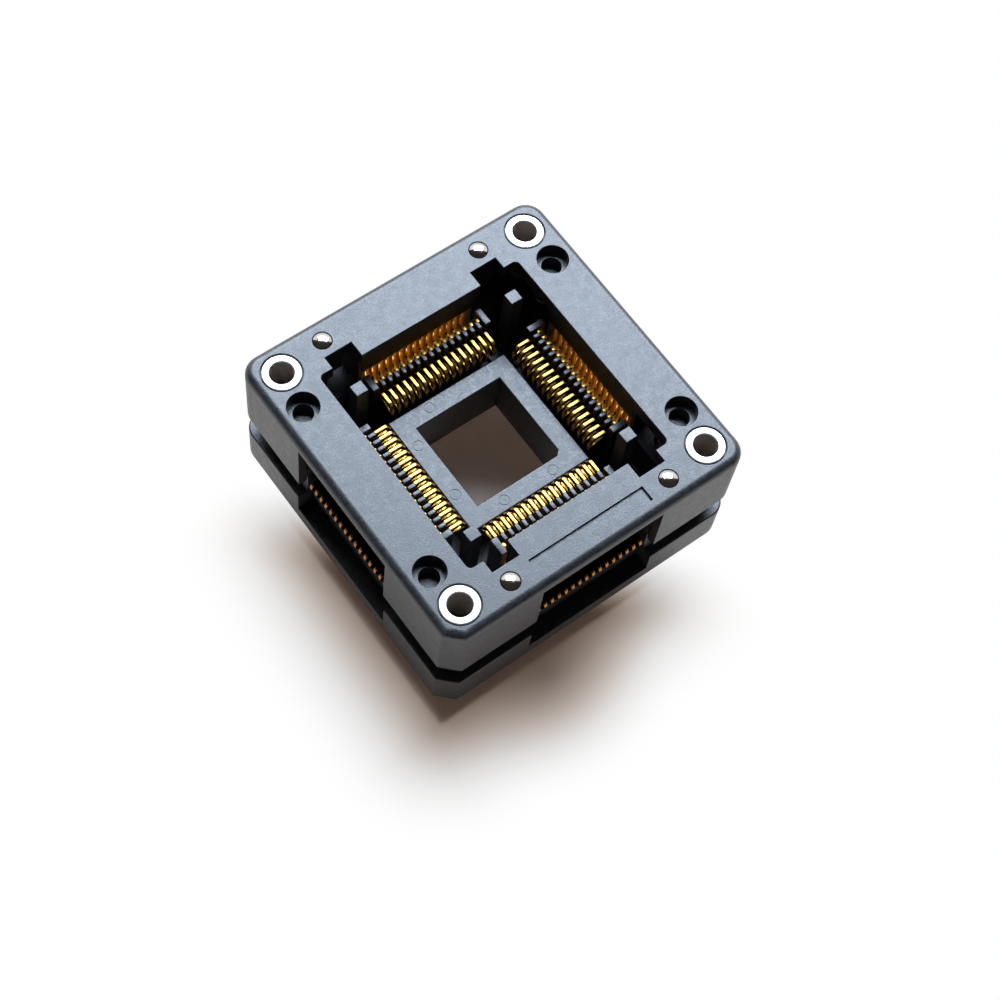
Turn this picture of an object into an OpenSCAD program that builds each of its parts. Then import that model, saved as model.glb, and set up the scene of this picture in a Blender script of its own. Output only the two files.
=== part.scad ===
// Open-top test socket for a square chip package with leads on four sides.
// Millimetres, +Z up, z = 0 on the underside of the base, front is -Y.
// Pressing the cover swings every contact arm outwards so that the chip can be dropped in.
// In each row, r is the distance from the socket's axis and t runs along the row.

/* [Envelope] */
// width of the square base and of the square cover
body_w = 34; // [33.6:0.1:36]
// height of the cover's top face above the underside of the base
top_z = 15.5; // [15.4:0.1:17]
// radius of the three plain corners
corner_r = 2; // [1.5:0.1:3]
// cut across the corner that marks the first contact
key_cut = 1.6; // [1.2:0.1:2.2]

/* [Contacts] */
// contacts in each of the four rows
contact_count = 16; // [10:1:16]
// spacing of the contacts along a row
contact_pitch = 0.8; // [0.7:0.02:0.82]
// sheet thickness of a contact, along the row
contact_t = 0.38; // [0.3:0.01:0.42]
// width of the blanked strip that a contact is made from
strip_w = 0.5; // [0.44:0.01:0.52]
// distance from the axis to the contact noses
tip_r = 7.05; // [6.9:0.05:7.2]
// height of the seat that a lead rests on
jaw_z = 9.68; // [9.5:0.02:9.8]
// height of the top edge of the contact bars
bar_z = 11.5; // [11.3:0.05:11.6]
// height of the top of the levers
lever_z = 11.6; // [11.4:0.05:11.7]
// distance from the noses to the stems
stem_d = 2.57; // [2.5:0.01:2.64]
// distance from the noses to the leg where the bar turns down
leg_d = 3.2; // [3.1:0.02:3.3]
// distance from the noses to the levers
lever_d = 5.35; // [5.3:0.01:5.4]
// length of the turned-over end of a lever
lever_l = 1; // [0.9:0.05:1.2]
// distance from the noses to the end of the arms
arm_d = 6.85; // [6.7:0.05:6.95]
// distance from the noses to the outer end of the feet
foot_d = 6.45; // [6.2:0.05:6.6]
// distance from the noses to the inner line of tails
tail_d = 3.85; // [3.7:0.05:4]
// distance from the socket's side to the middle of the hoops
hoop_inset = 1; // [0.95:0.01:1.1]
// height above the flange of the beam that joins leg, lever and hoop
valley_h = 3.3; // [3:0.05:3.5]
// bend where the nose turns into the bar, and where the jaw turns into its shelf
nose_bend = 0.5; // [0.4:0.05:0.55]
// bend where the bar turns down into the leg
leg_bend = 0.35; // [0.3:0.05:0.5]
// bend where the leg turns into the beam
valley_bend = 0.9; // [0.6:0.05:1]
// shoulder where a lever turns over, which the cam pushes
shoulder_r = 0.55; // [0.5:0.01:0.6]
// upper bend of a hoop
hoop_bend = 1.3; // [1:0.05:1.35]
// lower bend of a hoop
hoop_low_bend = 1.3; // [1:0.05:1.35]
// distance from the noses to the middle of the saddle in a bar
saddle_d = 2.25; // [2.2:0.01:2.3]
// depth of the saddle, where a bar passes through its comb
saddle_h = 0.5; // [0.4:0.02:0.55]
// radius of the saddle
saddle_r = 0.9; // [0.8:0.02:1]
// height of the web under the saddle
web_h = 0.45; // [0.4:0.01:0.5]
// bends at both ends of a stem
stem_bend = 0.3; // [0.26:0.01:0.4]
// rise from the lower jaw to the shelf behind it
shelf_h = 0.35; // [0.3:0.01:0.4]
// depth of the plate that stiffens the lower jaw
jaw_plate_h = 1.13; // [0.9:0.01:1.2]
// length of the tails below the base
tail_l = 3; // [2:0.1:4]
// distance between the two staggered lines of tails
tail_stagger = 2; // [1.5:0.1:2.4]

/* [Motion] */
// travel of the cover from rest to fully pressed
travel = 2; // [1.5:0.05:2]
// angle that the contact arms swing at full travel, in degrees
swing = 9.5; // [7:0.1:9.5]
// distance from the noses to the axis that the arms turn about
pivot_d = 6.15; // [6:0.05:6.3]
// depth of that axis below the flange's top
pivot_h = 0.3; // [0.2:0.05:0.5]

/* [Cover] */
// thickness of the cover's top plate
plate_t = 1.5; // [1.3:0.05:1.5]
// thickness of the plate above the side openings
lip_t = 1.1; // [0.9:0.05:1.3]
// height of the cover from the skirt's lower edge to the top face
cover_h = 7.95; // [7:0.05:8.3]
// thickness of the skirt
skirt_t = 0.9; // [0.8:0.02:0.95]
// rounding of the cover's top edge
edge_r = 0.36; // [0.2:0.02:0.5]
// gap from the contact noses to the window's edge
window_gap = 4.31; // [4.2:0.02:4.4]
// rounding of the window's corners
window_r = 0.5; // [0.3:0.05:0.6]
// step by which the window's corners reach past its front and back edges
window_step = 0.39; // [0.3:0.01:0.45]
// set-back of the cam ribs from the window's edge
cam_inset = 0.44; // [0.4:0.02:0.48]
// reach of the cam ribs below the top of the levers
cam_reach = 0.3; // [0.2:0.02:0.4]
// reach of the cam ribs past the last contacts of a row
cam_end = 0.45; // [0.4:0.01:0.5]
// depth of the four notches in the window's front and back edges
notch_d = 1.75; // [1:0.05:2]
// length of each notch along the edge
notch_l = 2.95; // [2:0.05:3.2]
// distance from a row's last contact to the end of its side opening
open_end = 0.87; // [0.8:0.01:0.95]
// depth of a side opening, from the cover's side
open_d = 1.7; // [1.6:0.02:1.8]
// height of the bosses' lower faces under the cover
boss_z = 12; // [11.9:0.05:12.6]

/* [Base] */
// height of the flange
flange_h = 4.5; // [4.2:0.05:4.6]
// height of the floor of the notch in each side of the flange
flange_notch_z = 1.9; // [1.2:0.1:3]
// depth of that notch, from the base's side
flange_notch_d = 1.8; // [1.7:0.02:1.9]
// distance from a row's last contact to the end of that notch
flange_end = 1.1; // [1:0.05:1.2]
// height of the corner towers
tower_z = 9.5; // [8.5:0.1:9.7]
// height of the platform under the chip
platform_z = 9.12; // [8.8:0.02:9.3]
// gap from the platform to the contact noses
platform_gap = 0.2; // [0.15:0.01:0.3]
// thickness of the platform's walls below its top
platform_wall = 0.55; // [0.5:0.05:1]
// depth of the trough between the platform and the combs
trough_d = 1.5; // [1.2:0.05:1.8]
// half width of the window through the platform
platform_window = 4.91; // [4:0.01:5.2]
// height of the lower edge of the platform's walls
cavity_z = 5.2; // [4:0.1:6]
// distance from the noses to the comb ribs
comb_d = 2.15; // [2.1:0.01:2.2]
// depth of the comb ribs, away from the noses
comb_w = 0.9; // [0.8:0.02:0.95]
// width of the rib at each end of a comb
end_rib_w = 0.65; // [0.5:0.05:0.65]
// height of the floor of the well round each corner post
well_z = 5.2; // [4.8:0.1:6.5]
// distance from the noses to the outer walls of the wells
well_d = 4.55; // [4.3:0.05:4.6]
// height of the comb ribs
comb_z = 11.85; // [11.6:0.05:11.9]
// distance from the noses to the middle of the corner posts
post_d = 1.85; // [1.8:0.01:1.9]
// height of the four posts at the corners of the combs
post_z = 15.05; // [14:0.05:15.2]
// width of the four square posts
post_w = 1.3; // [1:0.05:1.5]

/* [Sleeves and pins] */
// spacing of the corner sleeves
sleeve_pitch = 28; // [27.4:0.1:28.2]
// hole through each sleeve
sleeve_hole = 2.4; // [2:0.05:2.5]
// outside of each sleeve's tube
sleeve_d = 3; // [2.8:0.05:3.1]
// outside of the rims turned over at both ends of a sleeve
sleeve_rim = 3.9; // [3.5:0.05:4.2]
// thickness of those rims
sleeve_rim_t = 0.35; // [0.25:0.05:0.5]
// head of a guide pin
pin_d = 1.8; // [1.6:0.05:1.9]
// shank of a guide pin
shank_d = 1.5; // [1.2:0.05:1.55]
// rise of the domed end of a guide pin
dome_h = 0.3; // [0.15:0.05:0.4]
// distance of the guide pins from the middle of their side
pin_t = 9; // [8.9:0.05:9.1]
// distance of the guide pins from the cover's edge
pin_inset = 2.26; // [2.2:0.02:2.4]
// guide post moulded on the base, seen in each stepped hole of the cover
guide_d = 1.85; // [1.6:0.05:1.9]
// wide upper part of that stepped hole
step_d = 3.1; // [2.8:0.05:3.2]
// depth of the wide part
step_l = 1.2; // [0.8:0.05:1.3]
// height of the guide posts
guide_z = 12.4; // [12.3:0.05:13]
// distance of the guide posts from the middle of their side
guide_t = 9.95; // [9.8:0.05:10.1]
// distance of the guide posts from the cover's edge
guide_inset = 2.64; // [2.6:0.02:2.8]

/* [Return springs] */
// gap from a guide post to the coil round it
coil_c = 0.1; // [0.08:0.01:0.2]
// wire of a coil
wire_d = 0.34; // [0.28:0.02:0.36]
// turns in a coil
coil_turns = 7; // [6:1:8]
// height of the pocket floor that a coil stands on
coil_z = 6.5; // [5:0.1:6.8]

/* [Clearances] */
// gap between the corner towers and what stands beside them
tower_c = 0.15; // [0.1:0.01:0.2]
// radial clearance of the sliding fits
slide_c = 0.05; // [0.02:0.01:0.1]
// clearance of pieces that are fixed in place
fixed_c = 0.02; // [0.01:0.01:0.04]
// clearance on each side of a contact in its slot
slot_c = 0.04; // [0.02:0.01:0.06]
// gap from the cover's cam to the contact levers at rest
cam_c = 0.08; // [0.06:0.01:0.12]
// gap from a contact's nose to its lower jaw
nose_c = 0.08; // [0.05:0.01:0.12]

/* [Hidden] */
$fn = 40;
eps = 0.01;
half = body_w / 2;
row_half = (contact_count - 1) * contact_pitch / 2;
slot_w = contact_t + 2 * slot_c;
rib_end = row_half + slot_w / 2 + end_rib_w;
skirt_open = row_half + open_end;
flange_open = row_half + flange_end;

// heights
skirt_z = top_z - cover_h;
plate_z = top_z - plate_t;
lip_z = top_z - lip_t;
trough_z = platform_z - trough_d;
bar_mid = bar_z - strip_w / 2;
lever_mid = lever_z - strip_w / 2;
beam_mid = flange_h + valley_h;
foot_mid = flange_h + fixed_c + strip_w / 2;

// distances from the axis
platform_half = tip_r - platform_gap;
comb_in = tip_r + comb_d;
comb_out = comb_in + comb_w;
stem_r = tip_r + stem_d;
leg_r = tip_r + leg_d;
lever_r = tip_r + lever_d;
window_half = tip_r + window_gap;
cam_in = window_half + cam_inset;
pivot_r = tip_r + pivot_d;
pivot_z = flange_h - pivot_h;
post_r = tip_r + post_d;
well_out = tip_r + well_d;
arm_end = tip_r + arm_d;
foot_end = tip_r + foot_d;
tail_r = tip_r + tail_d;
hoop_r = half - hoop_inset;
tower_in = flange_open + tower_c;
tower_half = half - skirt_t - tower_c;
sleeve_at = sleeve_pitch / 2;
pin_r = half - pin_inset;
guide_r = half - guide_inset;
pocket_d = max(guide_d + 2 * (coil_c + wire_d + tower_c), 2 * (tower_half - guide_r) + 2 * coil_c);

// cam face: it follows the rounded shoulder of the levers through the whole swing
shoulder = [lever_r + shoulder_r, lever_mid - shoulder_r];
swung = swing_point(shoulder, swing);
cam_slope = (swung[0] - shoulder[0]) / (travel + swung[1] - shoulder[1]);
cam_angle = atan(cam_slope);
cam_gap = shoulder_r + strip_w / 2 + cam_c;
cam_touch = shoulder + cam_gap * [-cos(cam_angle), sin(cam_angle)];
cam_z = lever_z - cam_reach;

plastic = [0.16, 0.16, 0.17];
gold = [0.85, 0.62, 0.25];
steel = [0.75, 0.75, 0.77];

// Plane geometry of the contacts

function unit(v) = v / norm(v);
function left_of(v) = [-v[1], v[0]];
function turn(v, a) = [v[0] * cos(a) - v[1] * sin(a), v[0] * sin(a) + v[1] * cos(a)];
function cross2(u, v) = u[0] * v[1] - u[1] * v[0];

// a point of a contact arm after the arm has swung outwards
function swing_point(p, a) =
  [pivot_r, pivot_z] + turn(p - [pivot_r, pivot_z], -a);

// distance from the axis to the cam's sloping face at height z, with the cover at rest
function cam_face(z) = cam_touch[0] + (z - cam_touch[1]) * cam_slope;

// height of a return spring's wire after u turns, with a closed turn at each end
function coil_rise(u, low, high) =
  let (shut = wire_d * 1.04)
  u < 1 ? low + shut * u
  : u > coil_turns - 1 ? high - shut * (coil_turns - u)
  : low + shut + (high - low - 2 * shut) * (u - 1) / (coil_turns - 2);

// samples of a rounded corner at b: each is a point and the normal on its left
function bend(a, b, c, r, n) =
  let (u = unit(b - a), v = unit(c - b))
  let (s = sign(cross2(u, v)), full = atan2(abs(cross2(u, v)), u * v))
  let (centre = b - u * r * tan(full / 2) + left_of(u) * s * r)
  [for (i = [0:n]) let (m = turn(left_of(u), s * full * i / n)) [centre - m * s * r, m]];

// samples along a path whose inner corners are rounded with the given radii
function path(p, radii, n = 5) =
  let (last = len(p) - 1)
  concat(
    [[p[0], left_of(unit(p[1] - p[0]))]],
    [for (i = [1:last - 1]) each bend(p[i - 1], p[i], p[i + 1], radii[i - 1], n)],
    [[p[last], left_of(unit(p[last] - p[last - 1]))]]);

// outline of a strip of constant width along such a path
function strip(samples, w) =
  concat(
    [for (s = samples) s[0] + s[1] * w / 2],
    [for (i = [len(samples) - 1:-1:0]) samples[i][0] - samples[i][1] * w / 2]);

// Shared shapes

module box(lo, hi) {
  translate(lo)
    cube(hi - lo);
}

module each_side() {
  for (a = [0:90:270])
    rotate(a)
      children();
}

module each_corner() {
  for (x = [0, 1], y = [0, 1])
    mirror([x, 0, 0])
      mirror([0, y, 0])
        children();
}

// plan of the socket moved inwards by d, with its marked corner at front left
module plan(d) {
  h = half - d;
  r = corner_r - d;
  cut = key_cut - d * (2 - sqrt(2));
  difference() {
    union() {
      square([2 * (h - r), 2 * h], center = true);
      square([2 * h, 2 * (h - r)], center = true);
      translate([-h, -h])
        square(r);
      for (p = [[1, 1], [1, -1], [-1, 1]])
        translate(p * (h - r))
          circle(r);
    }
    polygon([[-h - 1, -h - 1], [-h + cut + 1, -h - 1], [-h - 1, -h + cut + 1]]);
  }
}

// window in the cover's plate
module window_plan() {
  corner_y = window_half + window_step;
  corner_in = skirt_open + notch_l;
  square(2 * window_half, center = true);
  each_corner() {
    translate([skirt_open, 0])
      square([notch_l, window_half + notch_d]);
    translate([corner_in - eps, 0])
      square([window_half - window_r - corner_in + eps, corner_y]);
    translate([corner_in, 0])
      square([window_half - corner_in, corner_y - window_r]);
    translate([window_half - window_r, corner_y - window_r])
      circle(window_r);
  }
}

// one row of contact pieces, each a blanked side profile; two profiles take turns along the row
module row_of(angle) {
  rotate(angle)
    for (i = [0:contact_count - 1])
      translate([0, (i - (contact_count - 1) / 2) * contact_pitch, 0])
        rotate([90, 0, 0])
          linear_extrude(contact_t, center = true)
            children($children > 1 ? i % 2 : 0);
}

// Base

module base_solids() {
  linear_extrude(flange_h)
    plan(0);
  intersection() {
    each_corner()
      box([tower_in, tower_in, flange_h - eps], [half, half, tower_z]);
    linear_extrude(tower_z)
      plan(half - tower_half);
  }
  box([-comb_in, -comb_in, 0], [comb_in, comb_in, trough_z]);
  box([-platform_half, -platform_half, 0], [platform_half, platform_half, platform_z]);
  each_side() {
    box([comb_in - eps, -rib_end, 0], [comb_out, rib_end, comb_z]);
    for (s = [-1, 1])
      translate([0, s * (rib_end - end_rib_w / 2), 0])
        box([comb_in + 0.4, -end_rib_w / 2, 0], [comb_out + 1, end_rib_w / 2, comb_z]);
  }
  each_corner() {
    translate([post_r, post_r, 0])
      box([-post_w / 2, -post_w / 2, 0], [post_w / 2, post_w / 2, post_z]);
    translate([guide_r, guide_t, 0])
      cylinder(h = guide_z, d = guide_d);
  }
}

module base_cuts() {
  w = platform_window;
  box([-w, -w, -1], [w, w, top_z]);
  wide = platform_half - platform_wall;
  box([-wide, -wide, -1], [wide, wide, cavity_z]);
  each_side() {
    box([half - flange_notch_d, -flange_open, flange_notch_z], [half + 1, flange_open, flange_h + 1]);
    for (i = [0:contact_count - 1])
      translate([0, (i - (contact_count - 1) / 2) * contact_pitch, 0]) {
        box([comb_in - 0.1, -slot_w / 2, flange_h], [comb_out + eps, slot_w / 2, top_z]);
        translate([tail_r + (i % 2) * tail_stagger, 0, 0])
          box([-strip_w / 2 - slot_c, -slot_w / 2, -1], [strip_w / 2 + slot_c, slot_w / 2, top_z]);
      }
  }
  each_corner() {
    translate([sleeve_at, sleeve_at, -1]) {
      cylinder(h = top_z, d = sleeve_d + 2 * fixed_c);
      cylinder(h = 1 + sleeve_rim_t + fixed_c, d = sleeve_rim + 2 * slide_c);
    }
    translate([pin_t, pin_r, flange_h - 1])
      cylinder(h = top_z, d = shank_d + 2 * slide_c);
    translate([guide_r, guide_t, coil_z])
      difference() {
        cylinder(h = tower_z, d = pocket_d);
        cylinder(h = tower_z, d = guide_d);
      }
    difference() {
      box([rib_end, rib_end, well_z], [well_out, well_out, top_z]);
      translate([post_r, post_r, 0])
        box([-post_w / 2, -post_w / 2, 0], [post_w / 2, post_w / 2, top_z + 1]);
    }
  }
}

module socket_base() {
  color(plastic)
    difference() {
      base_solids();
      base_cuts();
    }
}

// Sleeves: tubes with a rim turned over at both ends, which also stop the cover

module sleeve(x, y) {
  color(steel)
    translate([x * sleeve_at, y * sleeve_at, 0])
      difference() {
        union() {
          cylinder(h = top_z, d = sleeve_d);
          cylinder(h = sleeve_rim_t, d = sleeve_rim);
          translate([0, 0, top_z - sleeve_rim_t])
            cylinder(h = sleeve_rim_t, d = sleeve_rim);
        }
        translate([0, 0, -1])
          cylinder(h = top_z + 2, d = sleeve_hole);
      }
}

// Contacts

module stem_profile(tail_at) {
  nose = [tip_r + strip_w / 2, jaw_z - strip_w / 2];
  shelf = nose[1] + shelf_h;
  spine = [nose, nose + [nose_bend, 0], [nose[0] + 1.15, shelf], [stem_r, shelf], [stem_r, foot_mid],
    [foot_end, foot_mid]];
  low = jaw_z - jaw_plate_h;
  polygon(strip(path(spine, [nose_bend, nose_bend, stem_bend, stem_bend]), strip_w));
  polygon([[tip_r, nose[1]], [tip_r, low + 0.33], [tip_r + 0.3, low], [tip_r + 1.5, jaw_z - 0.1],
    [tip_r + 1.3, jaw_z + 0.1], nose]);
  translate(nose)
    circle(strip_w / 2);
  translate([tail_at - strip_w / 2, -tail_l])
    square([strip_w, foot_mid + tail_l]);
}

module stems(angle) {
  color(gold)
    row_of(angle) {
      stem_profile(tail_r);
      stem_profile(tail_r + tail_stagger);
    }
}

module hoops(angle) {
  spine = [[arm_end + fixed_c, beam_mid], [hoop_r, beam_mid], [hoop_r, foot_mid],
    [foot_end + fixed_c, foot_mid]];
  color(gold)
    row_of(angle)
      polygon(strip(path(spine, [hoop_bend, hoop_low_bend], 8), strip_w));
}

module arms(angle) {
  nose = [tip_r + strip_w / 2, jaw_z + nose_c + strip_w / 2];
  spine = [nose, [nose[0], bar_mid], [leg_r, bar_mid], [leg_r, beam_mid], [arm_end, beam_mid]];
  lever = [[lever_r, beam_mid], [lever_r, lever_mid], [lever_r + lever_l, lever_mid]];
  saddle = [tip_r + saddle_d, bar_z - saddle_h];
  low = saddle[1] - web_h;
  color(gold)
    row_of(angle)
      difference() {
        union() {
          polygon(strip(path(spine, [nose_bend, leg_bend, valley_bend]), strip_w));
          polygon(strip(path(lever, [shoulder_r]), strip_w));
          polygon([[saddle[0] - saddle_r - web_h, bar_mid], [saddle[0] - saddle_r, low], [leg_r, low],
            [leg_r, bar_mid]]);
          translate(nose)
            circle(strip_w / 2);
          translate([lever_r + lever_l, lever_mid])
            circle(strip_w / 2);
        }
        translate(saddle + [0, saddle_r])
          circle(saddle_r);
      }
}

// Cover

module cam() {
  top = plate_z + 0.1;
  translate([0, row_half + cam_end, 0])
    rotate([90, 0, 0])
      linear_extrude(2 * (row_half + cam_end))
        polygon([[cam_in, top], [cam_in, cam_z], [cam_face(cam_z), cam_z], [cam_face(top), top]]);
}

// bosses of one corner
module bosses() {
  h = plate_z + eps - boss_z;
  translate([sleeve_at, sleeve_at, boss_z])
    cylinder(h = h, d = sleeve_d + 2);
  translate([pin_t, pin_r, boss_z])
    cylinder(h = h, d = pin_d + 1.4);
  translate([guide_r, guide_t, boss_z])
    cylinder(h = h, d = guide_d + 2);
}

module cover_solids() {
  layer = 0.01;
  translate([0, 0, plate_z])
    linear_extrude(plate_t - edge_r)
      plan(0);
  hull() {
    translate([0, 0, top_z - edge_r - layer])
      linear_extrude(layer)
        plan(0);
    translate([0, 0, top_z - 0.3 * edge_r - layer])
      linear_extrude(layer)
        plan(0.3 * edge_r);
    translate([0, 0, top_z - layer])
      linear_extrude(layer)
        plan(edge_r);
  }
  translate([0, 0, skirt_z])
    linear_extrude(cover_h - edge_r)
      difference() {
        plan(0);
        plan(skirt_t);
      }
  intersection() {
    each_corner()
      bosses();
    linear_extrude(top_z)
      plan(skirt_t / 2);
  }
  each_side()
    cam();
}

module cover_cuts() {
  translate([0, 0, boss_z - 1])
    linear_extrude(top_z - boss_z + 2)
      window_plan();
  each_side()
    box([half - open_d, -skirt_open, skirt_z - 1], [half + 1, skirt_open, lip_z]);
  each_corner() {
    translate([sleeve_at, sleeve_at, 0])
      cylinder(h = top_z + 1, d = sleeve_d + 2 * slide_c);
    translate([sleeve_at, sleeve_at, top_z - sleeve_rim_t - slide_c])
      cylinder(h = 2, d = sleeve_rim + 2 * slide_c);
    translate([pin_t, pin_r, 0])
      cylinder(h = top_z + 1, d = pin_d + 2 * fixed_c);
    translate([guide_r, guide_t, 0])
      cylinder(h = top_z + 1, d = guide_d + 2 * slide_c);
    translate([guide_r, guide_t, top_z - step_l])
      cylinder(h = step_l + 1, d = step_d);
  }
}

module cover() {
  color(plastic)
    difference() {
      cover_solids();
      cover_cuts();
    }
}

// Guide pins: a domed head fixed in the cover and a shank that slides in the base

module pin(x, y) {
  dome_r = (pow(pin_d / 2, 2) + pow(dome_h, 2)) / (2 * dome_h);
  color(steel)
    translate([x * pin_t, y * pin_r, 0]) {
      translate([0, 0, tower_z - 3])
        cylinder(h = boss_z + 0.5 - tower_z + 3, d = shank_d);
      translate([0, 0, boss_z])
        cylinder(h = top_z - boss_z, d = pin_d);
      intersection() {
        translate([0, 0, boss_z])
          cylinder(h = top_z + 1 - boss_z, d = pin_d);
        translate([0, 0, top_z + dome_h - dome_r])
          sphere(dome_r);
      }
    }
}

// Return springs: coils with a closed turn at each end

module spring(x, y) {
  sides = 8;
  steps = 16;
  low = coil_z + fixed_c + wire_d / 2;
  high = boss_z - fixed_c - wire_d / 2;
  ring_r = guide_d / 2 + coil_c + wire_d / 2;
  count = coil_turns * steps;
  points = [for (i = [0:count], j = [0:sides - 1])
    let (a = 360 * i / steps, b = 360 * j / sides, q = ring_r + wire_d / 2 * cos(b))
    [q * cos(a), q * sin(a), coil_rise(i / steps, low, high) + wire_d / 2 * sin(b)]];
  walls = [for (i = [0:count - 1], j = [0:sides - 1])
    let (k = (j + 1) % sides)
    [i * sides + j, (i + 1) * sides + j, (i + 1) * sides + k, i * sides + k]];
  ends = [[for (j = [0:sides - 1]) j], [for (j = [sides - 1:-1:0]) count * sides + j]];
  color(steel)
    translate([x * guide_r, y * guide_t, 0])
      polyhedron(points, concat(walls, ends), convexity = 10);
}

socket_base();
sleeve(-1, -1);  // sleeve_front_left
sleeve(1, -1);  // sleeve_front_right
sleeve(-1, 1);  // sleeve_back_left
sleeve(1, 1);  // sleeve_back_right
stems(270);  // stems_front
stems(90);  // stems_back
stems(180);  // stems_left
stems(0);  // stems_right
hoops(270);  // hoops_front
hoops(90);  // hoops_back
hoops(180);  // hoops_left
hoops(0);  // hoops_right
arms(270);  // arms_front
arms(90);  // arms_back
arms(180);  // arms_left
arms(0);  // arms_right
cover();
pin(-1, -1);  // pin_front_left
pin(1, -1);  // pin_front_right
pin(-1, 1);  // pin_back_left
pin(1, 1);  // pin_back_right
spring(-1, -1);  // spring_front_left
spring(1, -1);  // spring_front_right
spring(-1, 1);  // spring_back_left
spring(1, 1);  // spring_back_right
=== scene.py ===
"""Looks of an open-top chip test socket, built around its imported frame.

Sizes are millimetres in the part's frame: +Z up, z = 0 on the underside of the base, front is -Y.
A solid is worked in millimetres and scaled to metres when it becomes a piece of the scene.
In a row of contacts, r is the distance from the socket's axis and t runs along the row.
"""

import logging
import math
from dataclasses import dataclass, field
from enum import Enum, auto
from typing import Callable, Sequence

import bmesh
import bpy
from mathutils import Matrix, Vector


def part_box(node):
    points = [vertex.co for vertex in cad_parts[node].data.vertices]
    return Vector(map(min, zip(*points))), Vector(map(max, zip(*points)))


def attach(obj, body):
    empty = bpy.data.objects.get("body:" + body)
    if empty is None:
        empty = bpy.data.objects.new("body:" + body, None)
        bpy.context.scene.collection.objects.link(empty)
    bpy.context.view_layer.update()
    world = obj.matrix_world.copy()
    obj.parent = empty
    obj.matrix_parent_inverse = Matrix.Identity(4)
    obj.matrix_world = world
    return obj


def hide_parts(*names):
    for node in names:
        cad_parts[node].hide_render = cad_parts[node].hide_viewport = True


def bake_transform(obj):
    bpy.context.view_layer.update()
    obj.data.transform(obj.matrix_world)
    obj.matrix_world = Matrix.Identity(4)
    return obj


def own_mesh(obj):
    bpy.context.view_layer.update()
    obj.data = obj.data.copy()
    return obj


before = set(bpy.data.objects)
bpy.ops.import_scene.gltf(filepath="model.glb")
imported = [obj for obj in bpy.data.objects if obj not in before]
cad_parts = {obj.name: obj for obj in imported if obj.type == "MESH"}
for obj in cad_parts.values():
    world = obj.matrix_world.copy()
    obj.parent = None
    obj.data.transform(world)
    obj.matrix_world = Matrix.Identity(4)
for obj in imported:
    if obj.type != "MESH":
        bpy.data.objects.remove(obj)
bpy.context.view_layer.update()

MM = 0.001
# How far a cutter runs past the face that it opens
PAST = 1.0
# How far a solid reaches into the one that it is joined to
SINK = 0.1
LOG = logging.getLogger("socket")

Point = tuple[float, float]
Range = tuple[float, float]
Pair = tuple[float, float]
Colour = tuple[float, float, float]
Outline = list[Point]
Plan = Callable[[float], Outline]
Ring = list[Vector]
Signal = bpy.types.NodeSocket
Material = bpy.types.Material
Piece = bpy.types.Object


# Named choices


class Named(Enum):
    """An option whose name is part of a node's name."""

    @property
    def word(self) -> str:
        """The option's name as the nodes spell it."""
        return self.name.lower()


class Side(Named):
    """A side of the socket, with the angle that turns its right side (+X) there."""

    RIGHT = 0
    BACK = 90
    LEFT = 180
    FRONT = 270

    @property
    def turn(self) -> Matrix:
        """The turn about the socket's axis that brings the right side here."""
        return Matrix.Rotation(math.radians(self.value), 4, "Z")


class Strip(Named):
    """A part of the contacts, with a row of it on each side."""

    STEMS = auto()
    HOOPS = auto()
    ARMS = auto()


class Fitting(Named):
    """A round part that every corner has."""

    SLEEVE = auto()
    PIN = auto()
    SPRING = auto()


class Corner(Named):
    """A corner of the socket, with the signs of its x and y."""

    FRONT_LEFT = (-1, -1)
    FRONT_RIGHT = (1, -1)
    BACK_LEFT = (-1, 1)
    BACK_RIGHT = (1, 1)

    def node(self, fitting: Fitting) -> str:
        """Gives the name of the node of one of this corner's round parts."""
        return f"{fitting.word}_{self.word}"

    def axis(self, fitting: Fitting) -> Point:
        """Gives the place of the upright axis of one of this corner's round parts."""
        low, high = span(self.node(fitting))
        place = (low + high) / 2
        return place.x, place.y

    def circle(self, fitting: Fitting, radius: float, steps: int) -> Plan:
        """Gives the plan of a circle about the axis of one of this corner's round parts."""
        return fixed(disc(radius, steps, self.axis(fitting)))

    def square(self, inner: float, outer: float) -> tuple[Point, Point]:
        """Gives the lowest and the highest corner of the square between two distances from the middle."""
        xs, ys = (sorted((sign * inner, sign * outer)) for sign in self.value)
        return (xs[0], ys[0]), (xs[1], ys[1])


class Join(Enum):
    """How two solids are put together."""

    UNITE = "UNION"
    CUT = "DIFFERENCE"
    COMMON = "INTERSECT"


class Maths(Enum):
    """A calculation with one or two values of a finish."""

    ADD = "ADD"
    SUBTRACT = "SUBTRACT"
    MULTIPLY = "MULTIPLY"
    POWER = "POWER"
    ROOT = "SQRT"
    SIZE = "ABSOLUTE"
    LARGER = "MAXIMUM"
    ABOVE = "GREATER_THAN"


class Change(Enum):
    """How a value of a finish goes from one limit to the other."""

    STRAIGHT = "LINEAR"
    SOFT = "SMOOTHSTEP"


# Frame and scene


def span(node: str) -> tuple[Vector, Vector]:
    """Gives the lowest and the highest corner of a CAD node at rest, in millimetres."""
    low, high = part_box(node)
    return low / MM, high / MM


def linked(name: str, data: bpy.types.ID) -> Piece:
    """Puts a mesh, a lamp or a camera into the scene as a new object.

    Args:
        name: Name of the object.
        data: What it shows.

    Returns:
        The object.
    """
    made = bpy.data.objects.new(name, data)
    bpy.context.scene.collection.objects.link(made)
    return made


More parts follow.
